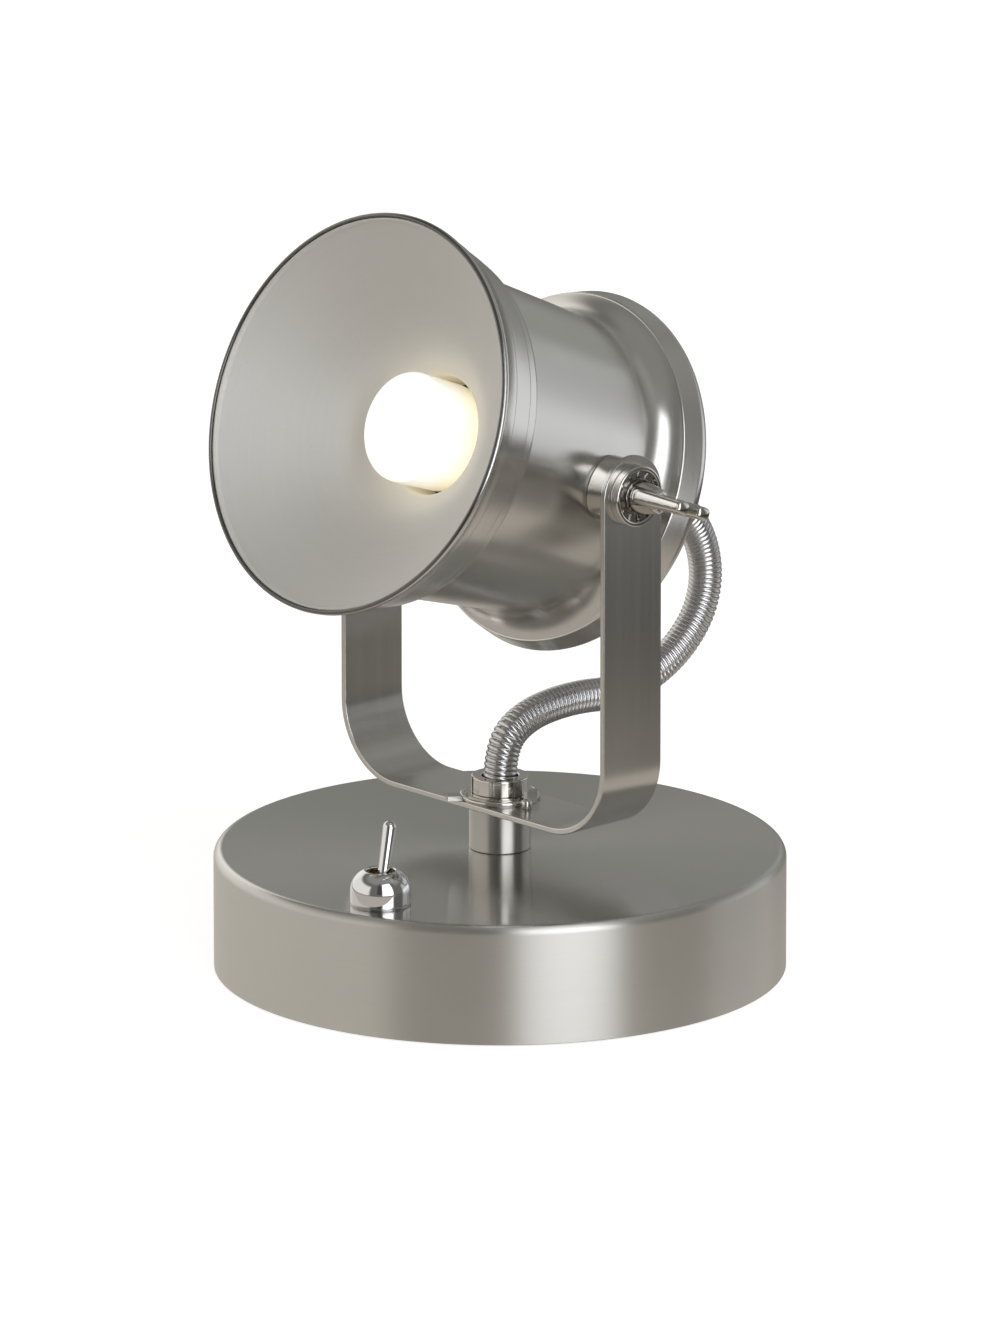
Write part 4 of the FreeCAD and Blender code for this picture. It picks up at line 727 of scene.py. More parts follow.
# %% [markdown]
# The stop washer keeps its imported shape, tab and ear and all, and gets a rolled edge: a ring
# with a round section, a shade above the strip, so that a dark line stays under it.
# %% Rolled edge of the stop washer
WASHER_EDGE = 9.35        # radius to the middle of the roll
WASHER_MIDDLE = 43.45
ROLL = 0.55
turn = np.linspace(0, 2 * np.pi, 25)[:-1]
roll = lathe("stop_washer_roll", np.stack([WASHER_EDGE + ROLL * np.cos(turn),
                                           WASHER_MIDDLE + ROLL * np.sin(turn)], 1))
ride_and_finish(roll, "base", polished, "polished_nickel")

# %% [markdown]
# ## The switch
# The toggle stands in a polished dome nut.  Its mirror finish shows the whole studio, so the
# curve has to be clean: a straight skirt, then one arc up to the lip round the lever.
# %% Dome nut and lever
DOME_RADIUS = 7.4
DOME_SKIRT = BASE_TOP + 3.4
DOME_SIDE = (6.37, BASE_TOP + 6.5)
DOME_TOP = BASE_TOP + 8.35
DOME_MOUTH = 3.5
DOME_LIP = 0.5            # flat ring between the arc and the mouth
DOME_BORE = 1.25          # how far the mouth runs straight down
DOME_WALL = 2.7           # from the lip down to where the wall ends inside
DOME_FOOT = 0.35          # undercut at the foot, which reads as a dark line
BUSHING_RADIUS = 5.0

dome_arc = bow((DOME_RADIUS, DOME_SKIRT), DOME_SIDE, (DOME_MOUTH + DOME_LIP, DOME_TOP), 20)
dome_profile = (
    [(BUSHING_RADIUS, BASE_TOP), (DOME_RADIUS - DOME_FOOT, BASE_TOP),
     (DOME_RADIUS - DOME_FOOT, BASE_TOP + DOME_FOOT), (DOME_RADIUS - 0.1, BASE_TOP + DOME_FOOT),
     (DOME_RADIUS, BASE_TOP + DOME_FOOT + 0.1), (DOME_RADIUS, BASE_TOP + 1)]
    + dome_arc
    + [(DOME_MOUTH + 0.15, DOME_TOP), (DOME_MOUTH, DOME_TOP - 0.2),
       (DOME_MOUTH, DOME_TOP - DOME_BORE), (BUSHING_RADIUS, DOME_TOP - DOME_WALL)])
dome = lathe("switch_dome_polished", dome_profile, SWITCH)
ride_and_finish(dome, "base", chrome, "chrome", "switch_dome")

BALL_RADIUS = 3.0
LEVER_ROOT = 1.35
LEVER_TIP = 1.65
LEVER_REACH = 17.8
LEVER_TAIL = 2.8
TAIL_RADIUS = 1.0
ball_top = math.sqrt(BALL_RADIUS ** 2 - LEVER_ROOT ** 2)
ball_bottom = -math.sqrt(BALL_RADIUS ** 2 - TAIL_RADIUS ** 2)
tip_centre = LEVER_REACH - LEVER_TIP
tip_side = LEVER_TIP * math.sqrt(0.5)
lever_profile = ([(0, -BALL_RADIUS - LEVER_TAIL), (TAIL_RADIUS, -BALL_RADIUS - LEVER_TAIL)]
                 + bow((TAIL_RADIUS, ball_bottom), (BALL_RADIUS, 0), (LEVER_ROOT, ball_top), 16)
                 + [(LEVER_ROOT, ball_top + 0.3)]
                 + bow((LEVER_TIP, tip_centre), (tip_side, tip_centre + tip_side),
                       (0, LEVER_REACH), 12))
lever = lathe("switch_lever_polished", lever_profile, LEVER, turns=48, closed=False)
ride_and_finish(lever, "lever", chrome, "chrome", "switch_lever")

# %% [markdown]
# ## The yoke
# One strip of steel, bent to a U with its ends rounded about the trunnions.  Its section is
# a flat rectangle with eased edges, carried along the U; over the last half width the
# section narrows as a circle does, which rounds the ends.
# %% Strip
YOKE_HALF = 46.8
YOKE_BOTTOM = 41.25
YOKE_BEND = 19.0
STRIP_WIDTH = 19.1
STRIP_THICK = 1.5
STRIP_EASE = 0.3


def u_line(count_arm=40, count_bend=24, count_floor=12):
    """The middle line of the strip in X and Z, with its outward normal.  It goes down the
    left arm, round the two bends and up the right arm, past the trunnions to the tips."""
    middle = YOKE_HALF - STRIP_THICK / 2
    bottom = YOKE_BOTTOM + STRIP_THICK / 2
    bend = YOKE_BEND - STRIP_THICK / 2
    tip = TRUNNION_HEIGHT + STRIP_WIDTH / 2
    eases = 1 - np.cos(np.linspace(0, np.pi / 2, 16))
    cap = tip - eases * STRIP_WIDTH / 2
    arm = np.linspace(TRUNNION_HEIGHT, bottom + bend, count_arm)[1:]
    left = [(-middle, z, -1.0, 0.0) for z in np.concatenate([cap, arm])]
    turn = np.linspace(0, np.pi / 2, count_bend)[1:]
    corner = [(-(middle - bend) - bend * math.cos(a), bottom + bend - bend * math.sin(a),
               -math.cos(a), -math.sin(a)) for a in turn]
    floor = [(x, bottom, 0.0, -1.0) for x in np.linspace(-(middle - bend), 0, count_floor)[1:]]
    half = np.array(left + corner + floor)
    other = half[-2::-1] * np.array([-1, 1, -1, 1])
    return np.vstack([half, other])


def strip_section(half_width, half_thick, ease):
    """A rectangle with eased corners, as (across, outward) shares that a width can scale."""
    corners = [(-half_width, -half_thick), (half_width, -half_thick),
               (half_width, half_thick), (-half_width, half_thick)]
    return np.array(eased(corners, ease, hold=0.05))


line = u_line()
section = strip_section(STRIP_WIDTH / 2, STRIP_THICK / 2, STRIP_EASE)
beyond = np.clip(line[:, 1] - TRUNNION_HEIGHT, 0, STRIP_WIDTH / 2)
half_chord = np.sqrt(np.clip((STRIP_WIDTH / 2) ** 2 - beyond ** 2, 0, None))
narrowed = half_chord / (STRIP_WIDTH / 2)
across = section[:, 0][None] * narrowed[:, None]
outward_part = np.tile(section[:, 1], (len(line), 1))
points = np.stack([line[:, 0][:, None] + outward_part * line[:, 2][:, None], across,
                   line[:, 1][:, None] + outward_part * line[:, 3][:, None]], -1)
yoke = grid_piece("yoke_strip", points, round_u=False, round_v=True)
ride_and_finish(yoke, "yoke", brushed_strip, "brushed_nickel", "yoke")

# %% [markdown]
# ## The head
# The shell is spun over a former: a rolled rim, a bell with two shallow steps, a shoulder, a
# slightly tapered barrel and a flared tail that the rear cover carries on.
# %% Shell
SHELL_THICK = 0.8
RIM_RADIUS = 48.8
RIM_FRONT = 51.2
BARREL_RADIUS = 41.0
BARREL_FRONT = 33.3
BARREL_END_RADIUS = 37.5
BARREL_BACK = -10.2
CREST_RADIUS = 43.3
CREST = -19.0
BAND_RADIUS = 44.6
BAND_END = -24.0
COVER_BACK = -38.5
RIM_BEAD = (49.3, 50.21)          # the widest point of the rolled rim
BELL_START = (48.9, 49.4)
SHOULDER_START = (44.9, 35.9)
BARREL_START = (42.17, 33.4)


def straight_run(start, end, count=8):
    """Points on a straight stretch of a profile, closer together near its ends."""
    share = (1 - np.cos(np.linspace(0, np.pi, count))) / 2
    return [tuple(np.array(start) * (1 - t) + np.array(end) * t) for t in share]


rim = bow((RIM_RADIUS, RIM_FRONT), RIM_BEAD, BELL_START, 8)
bell = eased([BELL_START, (47.9, 45.6), (47.6, 45.1), (45.8, 38.6), (45.5, 38.1),
              SHOULDER_START], [0, 0.25, 0.25, 0.25, 0.25, 0], closed=False, steps=3)
shoulder = bow(SHOULDER_START, (43.81, 34.0), BARREL_START, 10)
barrel = eased([BARREL_START, (BARREL_RADIUS, BARREL_FRONT), (BARREL_END_RADIUS, BARREL_BACK)],
               [0, 0.5, 0], closed=False)
cove = bow((BARREL_END_RADIUS, BARREL_BACK), (38.89, -15.66), (CREST_RADIUS, CREST), 18)
taper = straight_run(barrel[-2], barrel[-1])
shell_path = rim + bell[1:] + shoulder[1:] + barrel[1:-1] + taper[1:] + cove[1:]
shell = lathe("head_shell_spun", sheet_section(shell_path, SHELL_THICK), HEAD, turns=256)
ride_and_finish(shell, "head", brushed_head, "brushed_nickel", "body_shell")

# %% [markdown]
# ## The rear cover
# A spun cap: a band that carries on the flare, a rounded edge and a shallow dome that ends
# flat under the knurled nut.
# %% Cover
COVER_EDGE = (41.2, -27.8)        # where the rounded edge gives way to the dome
COVER_FLAT = 12.0                 # radius of the flat under the nut

band = straight_run((CREST_RADIUS + 0.02, CREST - 0.08), (BAND_RADIUS, BAND_END))
edge = bow((BAND_RADIUS, BAND_END), (43.6, -26.41), COVER_EDGE, 8)
dome_back = bow(COVER_EDGE, (30.5, -33.3), (COVER_FLAT, COVER_BACK), 24)
cover_path = (band + edge[1:] + dome_back[1:]
              + [(COVER_FLAT - 1, COVER_BACK), (NIPPLE_RADIUS, COVER_BACK)])
cover = lathe("rear_cover_spun", sheet_section(cover_path, SHELL_THICK), HEAD, turns=256)
ride_and_finish(cover, "head", brushed_head, "brushed_nickel", "rear_cover")

# %% [markdown]
# ## The reflector
# A satin cone runs from just inside the rim to the throat round the bulb.
# %% Reflector
REFLECTOR_THICK = 0.6
REFLECTOR_EDGE = 47.48
REFLECTOR_FRONT = 50.7
THROAT = 14.8
THROAT_FRONT = 23.8
THROAT_BACK = 11.5
THROAT_BLEND = 2.0
REFLECTOR_COLLAR = 1.3    # length of the straight edge inside the rim
REFLECTOR_BLEND = 0.65

edge_outside = REFLECTOR_EDGE + REFLECTOR_THICK
throat_outside = THROAT + REFLECTOR_THICK
cone_profile = eased(
    [(REFLECTOR_EDGE, REFLECTOR_FRONT), (REFLECTOR_EDGE, REFLECTOR_FRONT - REFLECTOR_COLLAR),
     (THROAT, THROAT_FRONT), (THROAT, THROAT_BACK), (throat_outside, THROAT_BACK),
     (throat_outside, THROAT_FRONT - REFLECTOR_THICK / 2),
     (edge_outside, REFLECTOR_FRONT - REFLECTOR_COLLAR), (edge_outside, REFLECTOR_FRONT)],
    [0.2, REFLECTOR_BLEND, THROAT_BLEND, 0.2, 0.2, THROAT_BLEND, REFLECTOR_BLEND, 0.2], steps=8)
cone = lathe("reflector_cone", cone_profile, HEAD, turns=256)
ride_and_finish(cone, "head", satin_cone, "reflector_satin", "reflector")

# %% [markdown]
# ## The bulb
# A short opal bulb.  A straight neck widens over a full shoulder to a side that is almost a
# cylinder, and the front is a very shallow dome with a rounded edge.
# %% Glass
BULB_RADIUS = 13.6
BULB_TIP = 35.6
BULB_SHOULDER = 19.5
BULB_SWELL = 0.35
BULB_EDGE = 1.8
BULB_DOME = 0.9
CAP_FRONT = 9.0
CAP_RADIUS = 6.95
NECK_END = 13.4
NECK_SWELL = (11.605, 15.96)      # half way up the curve from neck to side

edge_top = BULB_TIP - BULB_DOME
crown_radius = BULB_RADIUS - BULB_EDGE
edge_cut = BULB_EDGE * (1 - math.sqrt(0.5))
neck = bow((CAP_RADIUS, NECK_END), NECK_SWELL,
           (BULB_RADIUS - BULB_SWELL, BULB_SHOULDER), 16)
front_edge = bow((BULB_RADIUS, edge_top - BULB_EDGE),
                 (BULB_RADIUS - edge_cut, edge_top - edge_cut), (crown_radius, edge_top), 10)
crown = bow((crown_radius, edge_top), (crown_radius / 2, BULB_TIP - BULB_DOME / 4),
            (0, BULB_TIP), 12)
bulb_profile = [(0, CAP_FRONT), (CAP_RADIUS, CAP_FRONT)] + neck + front_edge + crown[1:]
bulb = lathe("bulb_opal", bulb_profile, HEAD, turns=96, closed=False)
ride_and_finish(bulb, "head", opal, "opal_glass", "bulb_glass")

# %% [markdown]
# ## The trunnions
# Each side has a turned boss that sits on the barrel, so its inner end is saddle-shaped: at
# each angle round the boss it stops where the barrel's cone begins.
# %% Bosses and cup washers
BOSS_RADIUS = 8.2
BOSS_FACE = 45.2
BOSS_EDGE = 0.6
BOSS_UNDERCUT = 0.45
BOSS_SINK = 0.15          # how far the foot goes into the barrel
CUP_RADIUS = 7.5
CUP_BACK = 46.8
CUP_FRONT = 49.2
CUP_WALL = 1.2
CUP_FLOOR = 47.8
CUP_BORE = 2.7


def boss(side, turns=128):
    """A short cylinder x = h, y = r cos u, z = r sin u whose foot follows the barrel, with
    a small undercut there.  The barrel's surface is at h = sqrt(R(s)^2 - t^2), where s and t
    are the point's distances along and across the head's axis."""
    u = np.arange(turns) * 2 * np.pi / turns
    tilt = math.radians(REST_TILT)
    y, z = BOSS_RADIUS * np.cos(u), BOSS_RADIUS * np.sin(u)
    s = -y * math.cos(tilt) + (z - HEAD_RISE) * math.sin(tilt)
    t = y * math.sin(tilt) + (z - HEAD_RISE) * math.cos(tilt)
    taper = (BARREL_RADIUS - BARREL_END_RADIUS) / (BARREL_FRONT - BARREL_BACK)
    barrel_radius = BARREL_END_RADIUS + taper * (s - BARREL_BACK)
    foot = np.sqrt(barrel_radius ** 2 - t ** 2) - BOSS_SINK
    edge = np.array(eased([(0, 0), (BOSS_RADIUS, 0), (BOSS_RADIUS, BOSS_FACE), (0, BOSS_FACE)],
                          [0, 0, BOSS_EDGE, 0], steps=6, closed=False))[2:]
    neck = BOSS_RADIUS - BOSS_UNDERCUT
    undercut = [neck, neck, BOSS_RADIUS - 0.1, BOSS_RADIUS, BOSS_RADIUS]
    rise = [0, 0.7, 0.7, 0.8, 1.1]            # of the undercut's corners above the foot
    r = np.concatenate([[0], undercut, edge[:, 0]])
    h = np.empty((turns, len(r)))
    h[:, 6:] = edge[:, 1]
    h[:, 1:6] = foot[:, None] + rise
    h[:, 0] = foot.mean()
    sign = 1 if side == "right" else -1
    points = np.stack([sign * h, np.outer(np.cos(u), r),
                       TRUNNION_HEIGHT + np.outer(np.sin(u), r)], -1)
    piece = grid_piece("boss_%s_turned" % side, points)
    return ride_and_finish(piece, "head", polished, "polished_nickel", "boss_" + side)


def cup_washer(side):
    """A shallow cup that bears on the arm and holds the toothed washer."""
    inside = CUP_RADIUS - CUP_WALL
    profile = eased([(CUP_BORE, CUP_BACK), (CUP_RADIUS, CUP_BACK), (CUP_RADIUS, CUP_FRONT),
                     (inside, CUP_FRONT), (inside, CUP_FLOOR), (CUP_BORE, CUP_FLOOR)],
                    [0.1, 0.25, 0.4, 0.4, 0.2, 0.1])
    piece = lathe("cup_washer_%s_turned" % side, profile, SIDES[side])
    return ride_and_finish(piece, "yoke", polished, "polished_nickel", "cup_washer_" + side)


for side in SIDES:
    boss(side)
    cup_washer(side)

# %% [markdown]
# ## The wing screws
# A wing screw is forged, so its hub and wings run into each other with soft edges.  Each
# wing is a rounded bar with a section that changes along its line.  Joining bars and hub and
# giving them one new skin of small squares rounds the joins as a forging's are.
# %% Wing screws
SCREW_RADIUS = 2.45
SCREW_END = 34.0
HUB_BACK = 48.55
HUB_FRONT = 56.55
HUB_RADIUS = 4.3
HUB_NARROWING = 0.68
WING_START = HUB_BACK + 2.0
WING_REACH = 68.3
WING_TIP = 1.0            # length over which the end of a wing closes
WING_SPAN = 5.7
WING_THICK = 3.3
WING_WIDTH = 4.1
WING_ROOT = 1.2           # how much wider and thicker a wing is at its root
WING_TURN = -21.0
SKIN = 0.22               # size of the squares of the new skin, in mm
SOFTENINGS = 6            # passes that round the joins


def wing(hand, along=40, around=24):
    """A bar whose centre moves out from the axis in a straight line, whose section is a
    rounded rectangle |x|^3 + |y|^3 = 1, and whose end closes over its last millimetre as
    (1 - e^3)^(1/3) does."""
    tip_start = WING_REACH - WING_TIP
    tip_z = tip_start + np.sin(np.linspace(0, np.pi / 2, 12)[1:])
    z = np.concatenate([np.linspace(WING_START, tip_start, along), tip_z])
    t = (z - WING_START) / (WING_REACH - WING_START)
    centre_x = hand * (WING_WIDTH / 2 + (WING_SPAN - WING_WIDTH) * t)
    root_share = (1 - t) ** 1.5
    cap = np.clip(1 - np.clip(z - WING_REACH + WING_TIP, 0, 1) ** 3, 0, 1) ** (1 / 3)
    half_width = (WING_WIDTH + WING_ROOT * root_share) / 2 * cap
    half_thick = (WING_THICK + WING_ROOT * root_share) / 2 * cap
    v = np.arange(around) * 2 * np.pi / around
    across = np.sign(np.cos(v)) * np.abs(np.cos(v)) ** (2 / 3)
    deep = np.sign(np.sin(v)) * np.abs(np.sin(v)) ** (2 / 3)
    return np.stack([centre_x[:, None] + half_width[:, None] * across[None],
                     half_thick[:, None] * deep[None],
                     np.tile(z[:, None], (1, around))], -1)


def wing_screw(side):
    """Hub, shank and two wings under one skin."""
    turn = 90 + WING_TURN if side == "right" else 90 - WING_TURN
    place = SIDES[side] @ Matrix.Rotation(math.radians(turn), 4, "Z")
    hub = lathe("hub", eased([(0, SCREW_END), (SCREW_RADIUS, SCREW_END), (SCREW_RADIUS, HUB_BACK),
                              (HUB_RADIUS, HUB_BACK), (HUB_RADIUS, HUB_BACK + 1),
                              (HUB_RADIUS * HUB_NARROWING, HUB_FRONT), (0, HUB_FRONT)],
                             [0, 0.3, 0.2, 0.4, 1.5, 1.0, 0], closed=False),
                place, turns=48, closed=False)
    wings = [grid_piece("wing", wing(hand), place, round_u=False, round_v=True)
             for hand in (-1, 1)]
    for bar in wings:
        ends = bmesh.new()
        ends.from_mesh(bar.data)
        bmesh.ops.holes_fill(ends, edges=ends.edges)
        bmesh.ops.recalc_face_normals(ends, faces=ends.faces)
        ends.to_mesh(bar.data)
        ends.free()
    joined = bmesh.new()
    for part in [hub] + wings:
        joined.from_mesh(part.data)
        bpy.data.objects.remove(part)
    mesh = bpy.data.meshes.new("wing_screw")
    joined.to_mesh(mesh)
    joined.free()
    raw = bpy.data.objects.new("raw", mesh)
    bpy.context.scene.collection.objects.link(raw)
    skin = raw.modifiers.new("skin", "REMESH")
    skin.mode = "VOXEL"
    skin.voxel_size = SKIN / 1000
    soften = raw.modifiers.new("soften", "SMOOTH")
    soften.factor = 0.5
    soften.iterations = SOFTENINGS
    depsgraph = bpy.context.evaluated_depsgraph_get()
    skinned = bpy.data.meshes.new_from_object(raw.evaluated_get(depsgraph))
    bpy.data.objects.remove(raw)
    piece = finished("wing_screw_%s_forged" % side, skinned)
    return ride_and_finish(piece, "wing_" + side, polished, "polished_nickel",
                           "wing_screw_" + side)


for side in SIDES:
    screw = wing_screw(side)
    print(screw.name, len(screw.data.polygons), "faces")

# %% [markdown]
# ## Rear nut and gland
# The nut behind the cover is knurled, so that fingers can turn it.  The knurl is a wave in
# the radius; it fades out over the two rounded edges.
# %% Knurled nut and gland
NUT_RADIUS = 8.0
NUT_FRONT = COVER_BACK
NUT_BACK = COVER_BACK - 3.0
KNURLS = 44
KNURL_DEPTH = 0.35
GLAND_RADIUS = 6.0
GLAND_BACK = -51.0
GLAND_MOUTH = 4.25
NIPPLE_BACK = -45.0       # where the hollow nipple ends inside the gland
KNURL_FADE = 0.45         # how far below the full radius the knurl has faded out

nut_r, nut_z = np.array(eased([(NIPPLE_RADIUS, NUT_BACK), (NUT_RADIUS, NUT_BACK),
                               (NUT_RADIUS, NUT_FRONT), (NIPPLE_RADIUS, NUT_FRONT)],
                              [0, 0.5, 0.5, 0], steps=6)).T
u = np.arange(KNURLS * 8) * 2 * np.pi / (KNURLS * 8)
edge_share = np.clip((nut_r - (NUT_RADIUS - KNURL_FADE)) / KNURL_FADE, 0, 1)
wave = np.abs(np.sin(u * KNURLS / 2))
knurled_r = nut_r[None] - KNURL_DEPTH * edge_share[None] * wave[:, None]
nut_points = np.stack([knurled_r * np.cos(u)[:, None], knurled_r * np.sin(u)[:, None],
                       np.tile(nut_z, (len(u), 1))], -1)
rear_nut = grid_piece("rear_nut_knurled", nut_points, HEAD, round_v=True)
ride_and_finish(rear_nut, "head", polished, "polished_nickel", "rear_nut")

gland = lathe("hose_gland_turned",
              eased([(NIPPLE_RADIUS, NUT_BACK), (GLAND_RADIUS, NUT_BACK),
                     (GLAND_RADIUS, GLAND_BACK), (GLAND_MOUTH, GLAND_BACK),
                     (GLAND_MOUTH, NIPPLE_BACK), (NIPPLE_RADIUS, NIPPLE_BACK)],
                    [0, 0.3, 0.5, 0.2, 0, 0]), HEAD, turns=96)
ride_and_finish(gland, "head", polished, "polished_nickel", "hose_gland")

# %% [markdown]
# ## Everything else
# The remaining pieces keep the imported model's shape.  Each gets the finish that its record
# slot names, apart from three washers: the toothed ones are dark spring steel, and the stop
# washer is pressed, not polished.
# %% Finishes by slot
FINISHES = {
    "brushed_nickel": brushed_drum, "reflector_satin": satin_cone, "polished_nickel": polished,
    "chrome": chrome, "hose_steel": hose_steel, "zinc_steel": zinc, "cast_iron": cast_iron,
    "felt": felt, "brass": brass, "black_plastic": black_plastic,
    "white_plastic": white_plastic, "wire_insulation": wire_sleeve,
    "holder_ceramic": ceramic, "opal_glass": opal,
}
SPECIAL = {"tooth_washer_left": spring_steel, "tooth_washer_right": spring_steel,
           "stop_washer": pressed}
slot_of = {row["node"]: row["material_slot"] for row in frame["record"]["subparts"]}
bodies = frame["record"]["behaviour"]["bodies"]
body_of = {node: body for body, members in bodies.items() for node in members}
hose.data.materials.append(hose_steel)
for node, packed in frame["nodes"].items():
    if packed.hide_render:
        continue
    piece = smooth_copy(node, body_of[node])
    piece.data.materials.append(SPECIAL.get(node, FINISHES[slot_of[node]]))

# %% [markdown]
# ## The studio
# Metal shows what is round it, so the light is arranged as reflections: a broad warm panel
# on the left, a narrow bright one right of the camera, low cool cards on the right, three
# faint ones higher up and behind, and dim walls between them.  Round the camera a dark flag
# takes light away.  Each panel is a smooth patch of the world's sky.
# %% Sky panel group
panel, given, result = effect_group(
    "studio_panel",
    [("Direction", VECTOR, (0, 0, 0)), ("Facing", VECTOR, (0, -1, 0)), ("Half width", FLOAT, 0.4),
     ("Edge", FLOAT, 0.1), ("Low", FLOAT, 0.0), ("High", FLOAT, 1.0), ("Strength", FLOAT, 1.0),
     ("Tint", COLOUR, (1, 1, 1, 1))],
    [("Light", COLOUR)])
flat = vector(panel, "NORMALIZE", vector(panel, "MULTIPLY", given["Direction"], (1, 1, 0)))
aside = calc(panel, "ARCCOSINE", vector(panel, "DOT_PRODUCT", flat, given["Facing"]))
upward = put(panel, "ShaderNodeSeparateXYZ", (given["Direction"],)).outputs[2]
height = calc(panel, "ARCSINE", upward)


def soft_step(value, edge_at, softness, rising):
    """0 to 1 as a value passes an edge, in the panel group."""
    low = calc(panel, "SUBTRACT", edge_at, softness)
    high = calc(panel, "ADD", edge_at, softness)
    ends = (0.0, 1.0) if rising else (1.0, 0.0)
    return ramp(panel, value, low, high, *ends)


mask = calc(panel, "MULTIPLY", soft_step(aside, given["Half width"], given["Edge"], False),
            calc(panel, "MULTIPLY", soft_step(height, given["Low"], given["Edge"], True),
                 soft_step(height, given["High"], given["Edge"], False)))
panel_light = vector(panel, "SCALE", given["Tint"], None, None,
                     calc(panel, "MULTIPLY", mask, given["Strength"]))
panel.links.new(panel_light, result["Light"])

# %% [markdown]
# The sky is the light of the walls with every panel added to it, and a soft ceiling on top.
# Only reflections and lighting see it; to the eye the background is plain white.
# %% World
WALL_LIGHT = 0.18
CEILING_LIGHT = 0.14
CEILING_EDGE = (0.70, 0.90)       # heights on the unit sphere
CEILING_TINT = (1.0, 0.99, 0.97)
WALL_TINT = (1.0, 0.98, 0.91)
WHITE = (1, 1, 1, 1)
STUDIO = [   # degrees round from the camera, half width, edge, low, high; strength; tint
    (-108, 64, 6, -13, 37, 0.84, (1.0, 0.97, 0.92, 1)),      # broad warm panel, left
    (28, 20.5, 2.5, -13, 54, 2.40, (0.97, 1.0, 1.04, 1)),    # narrow bright panel
    (31, 11, 6, -13, 54, 0.50, (0.97, 1.0, 1.04, 1)),        # its brighter core
    (113, 21, 4, -22, 7, 0.45, (0.97, 1.0, 1.05, 1)),        # low cool card, right
    (115, 23, 5, -22, 25, 0.42, (0.97, 1.0, 1.05, 1)),       # a taller one with it
    (100, 32, 8, 37, 62, 0.15, (1.0, 1.0, 0.98, 1)),         # faint and high, right
    (150, 20, 8, 4, 52, 0.12, (0.96, 1.0, 0.98, 1)),         # faint, behind on the right
    (180, 42, 8, 5, 30, 0.12, (0.94, 1.0, 0.97, 1)),         # faint, straight behind
    (-5, 9, 4, 2, 60, -0.10, (1.0, 1.0, 0.93, 1)),           # flag round the camera
]
world = bpy.data.worlds.new("studio")
bpy.context.scene.world = world
world.use_nodes = True
sky = world.node_tree
sky.nodes.clear()
direction = put(sky, "ShaderNodeTexCoord").outputs["Generated"]
light = put(sky, "ShaderNodeRGB").outputs[0]
light.default_value = tuple(WALL_LIGHT * c for c in WALL_TINT) + (1,)
for azimuth, half, edge, low, high, strength, tint in STUDIO:
    angle = CAMERA_AZIMUTH + math.radians(azimuth)
    out = use_group(sky, panel, {
        "Direction": direction, "Facing": (math.sin(angle), -math.cos(angle), 0),
        "Half width": math.radians(half), "Edge": math.radians(edge),
        "Low": math.radians(low), "High": math.radians(high), "Strength": strength,
        "Tint": tint})
    light = vector(sky, "ADD", light, out["Light"])
upward = put(sky, "ShaderNodeSeparateXYZ", (direction,)).outputs[2]
overhead = ramp(sky, upward, *CEILING_EDGE)
ceiling = vector(sky, "SCALE", CEILING_TINT, None, None,
                 calc(sky, "MULTIPLY", overhead, CEILING_LIGHT))
light = vector(sky, "ADD", light, ceiling)
seen = put(sky, "ShaderNodeLightPath").outputs["Is Camera Ray"]
shown = blend_colours(sky, seen, light, WHITE)
background = put(sky, "ShaderNodeBackground", {"Color": shown, "Strength": 1.0})
sky.links.new(background.outputs[0], put(sky, "ShaderNodeOutputWorld").inputs[0])

# %% [markdown]
# ## The floor
# The table is pale, and white to the eye, with only a breath of shadow under the base.  What
# the metal reflects of it is painted: a pool of light painted a little in front of the lamp,
# and a painted soft shadow behind it, where the lamp's shadow would fall.
# %% Floor
FLOOR_SIZE = 12.0
POOL_CENTRE = (-0.033, -0.062, 0)
POOL_EDGE = (0.18, 0.46)          # radii where the pool starts and ends to fade, in metres
POOL_LIGHT = (0.56, 0.06)         # inside and outside
POOL_TINT = (1.0, 0.93, 0.83, 1)
# Painted shadow: the pool's light is dimmed round this point behind the lamp, fixed on the floor.
SHADOW_CENTRE = (0.135, 0.160, 0)
SHADOW_EDGE = (0.035, 0.080)
SHADOW_SHARE = (0.30, 1.0)        # of the pool's light, inside and outside the shadow
FLOOR_END = (0.50, 0.56)          # beyond this the metal sees the sky, not the floor
FLOOR_LIFT = 0.80                 # the floor's own light, which makes it white to the eye

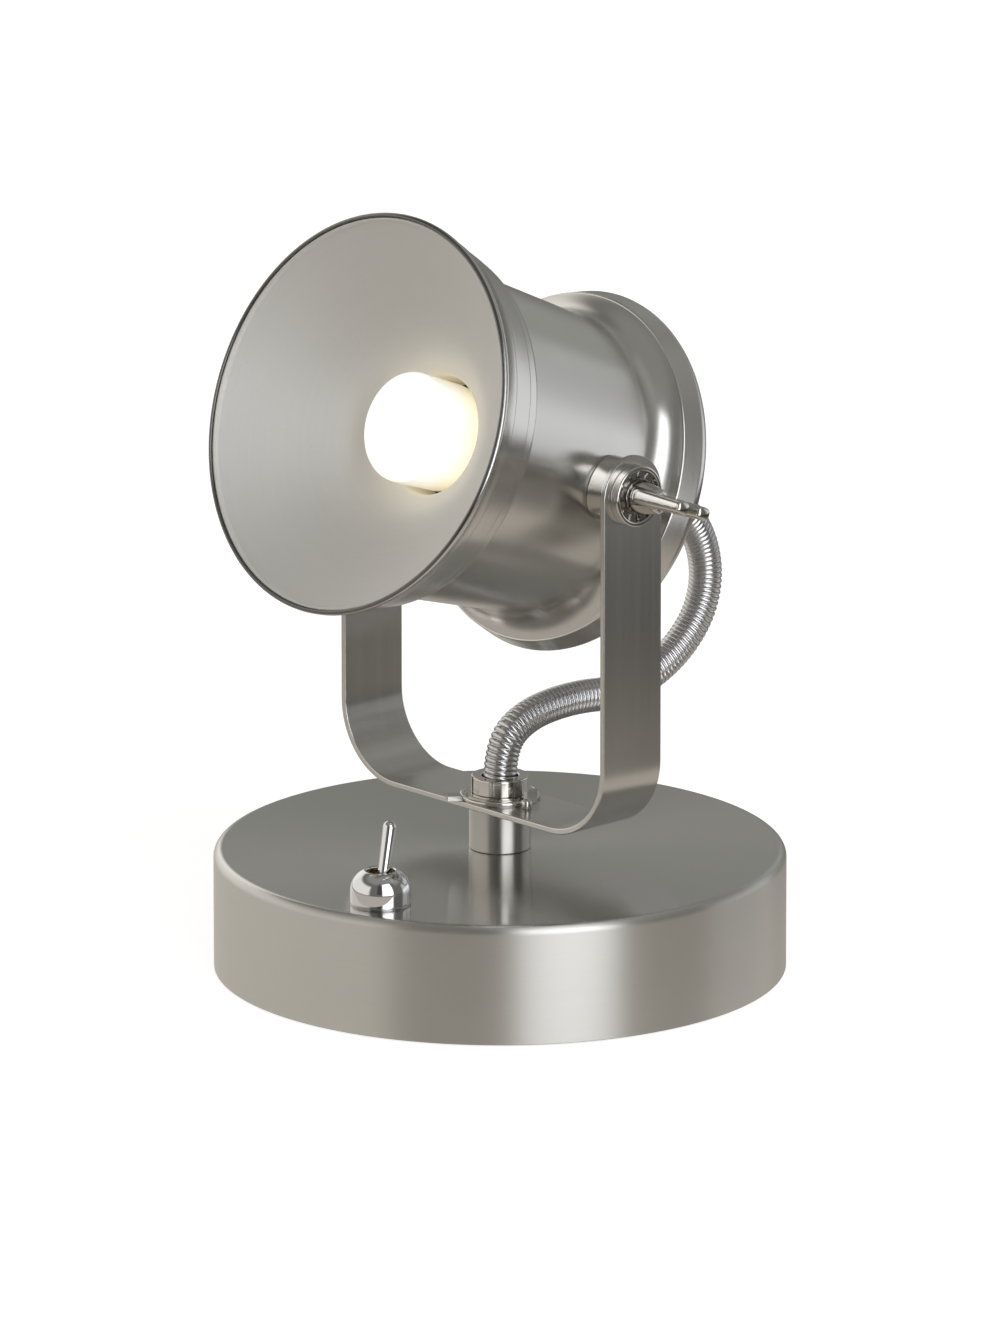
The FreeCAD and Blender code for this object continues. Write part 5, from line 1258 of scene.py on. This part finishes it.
floor_mesh = bpy.data.meshes.new("floor")
half = FLOOR_SIZE / 2
floor_corners = [(-half, -half, 0), (half, -half, 0), (half, half, 0), (-half, half, 0)]
floor_mesh.from_pydata(floor_corners, [], [(0, 1, 2, 3)])
floor = bpy.data.objects.new("floor", floor_mesh)
bpy.context.scene.collection.objects.link(floor)
floor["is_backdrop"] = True
table, tree, shader = new_material("pale_table")
tree.nodes.remove(shader)
place = put(tree, "ShaderNodeTexCoord").outputs["Object"]
away = vector(tree, "LENGTH", place)
from_pool = vector(tree, "LENGTH", vector(tree, "SUBTRACT", place, POOL_CENTRE))
from_shadow = vector(tree, "LENGTH", vector(tree, "SUBTRACT", place, SHADOW_CENTRE))
# The pool of light and the shadow in it are painted into the floor's light, which only
# reflections and lighting see.
pool = calc(tree, "MULTIPLY", ramp(tree, from_pool, *POOL_EDGE, *POOL_LIGHT),
            ramp(tree, from_shadow, *SHADOW_EDGE, *SHADOW_SHARE))
pool_light = put(tree, "ShaderNodeEmission", {"Color": POOL_TINT, "Strength": pool})
nothing = put(tree, "ShaderNodeBsdfTransparent")
mirrored = put(tree, "ShaderNodeMixShader",
               (ramp(tree, away, *FLOOR_END), pool_light.outputs[0], nothing.outputs[0]))
pale = put(tree, "ShaderNodeBsdfDiffuse", {"Color": (0.5, 0.5, 0.5, 1)})
lift = put(tree, "ShaderNodeEmission", {"Color": WHITE, "Strength": FLOOR_LIFT})
to_the_eye = put(tree, "ShaderNodeAddShader", (pale.outputs[0], lift.outputs[0]))
seen = put(tree, "ShaderNodeLightPath").outputs["Is Camera Ray"]
choice = put(tree, "ShaderNodeMixShader", (seen, mirrored.outputs[0], to_the_eye.outputs[0]))
tree.links.new(choice.outputs[0], tree.nodes["Material Output"].inputs["Surface"])
floor_mesh.materials.append(table)

bpy.context.scene.view_settings.view_transform = "Standard"

# %% [markdown]
# ## Size
# The box of the dressed lamp is printed in millimetres.
# %% Sizes, and the end
low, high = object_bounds()
print("visual box in mm", [round(1000 * x, 1) for x in high - low])
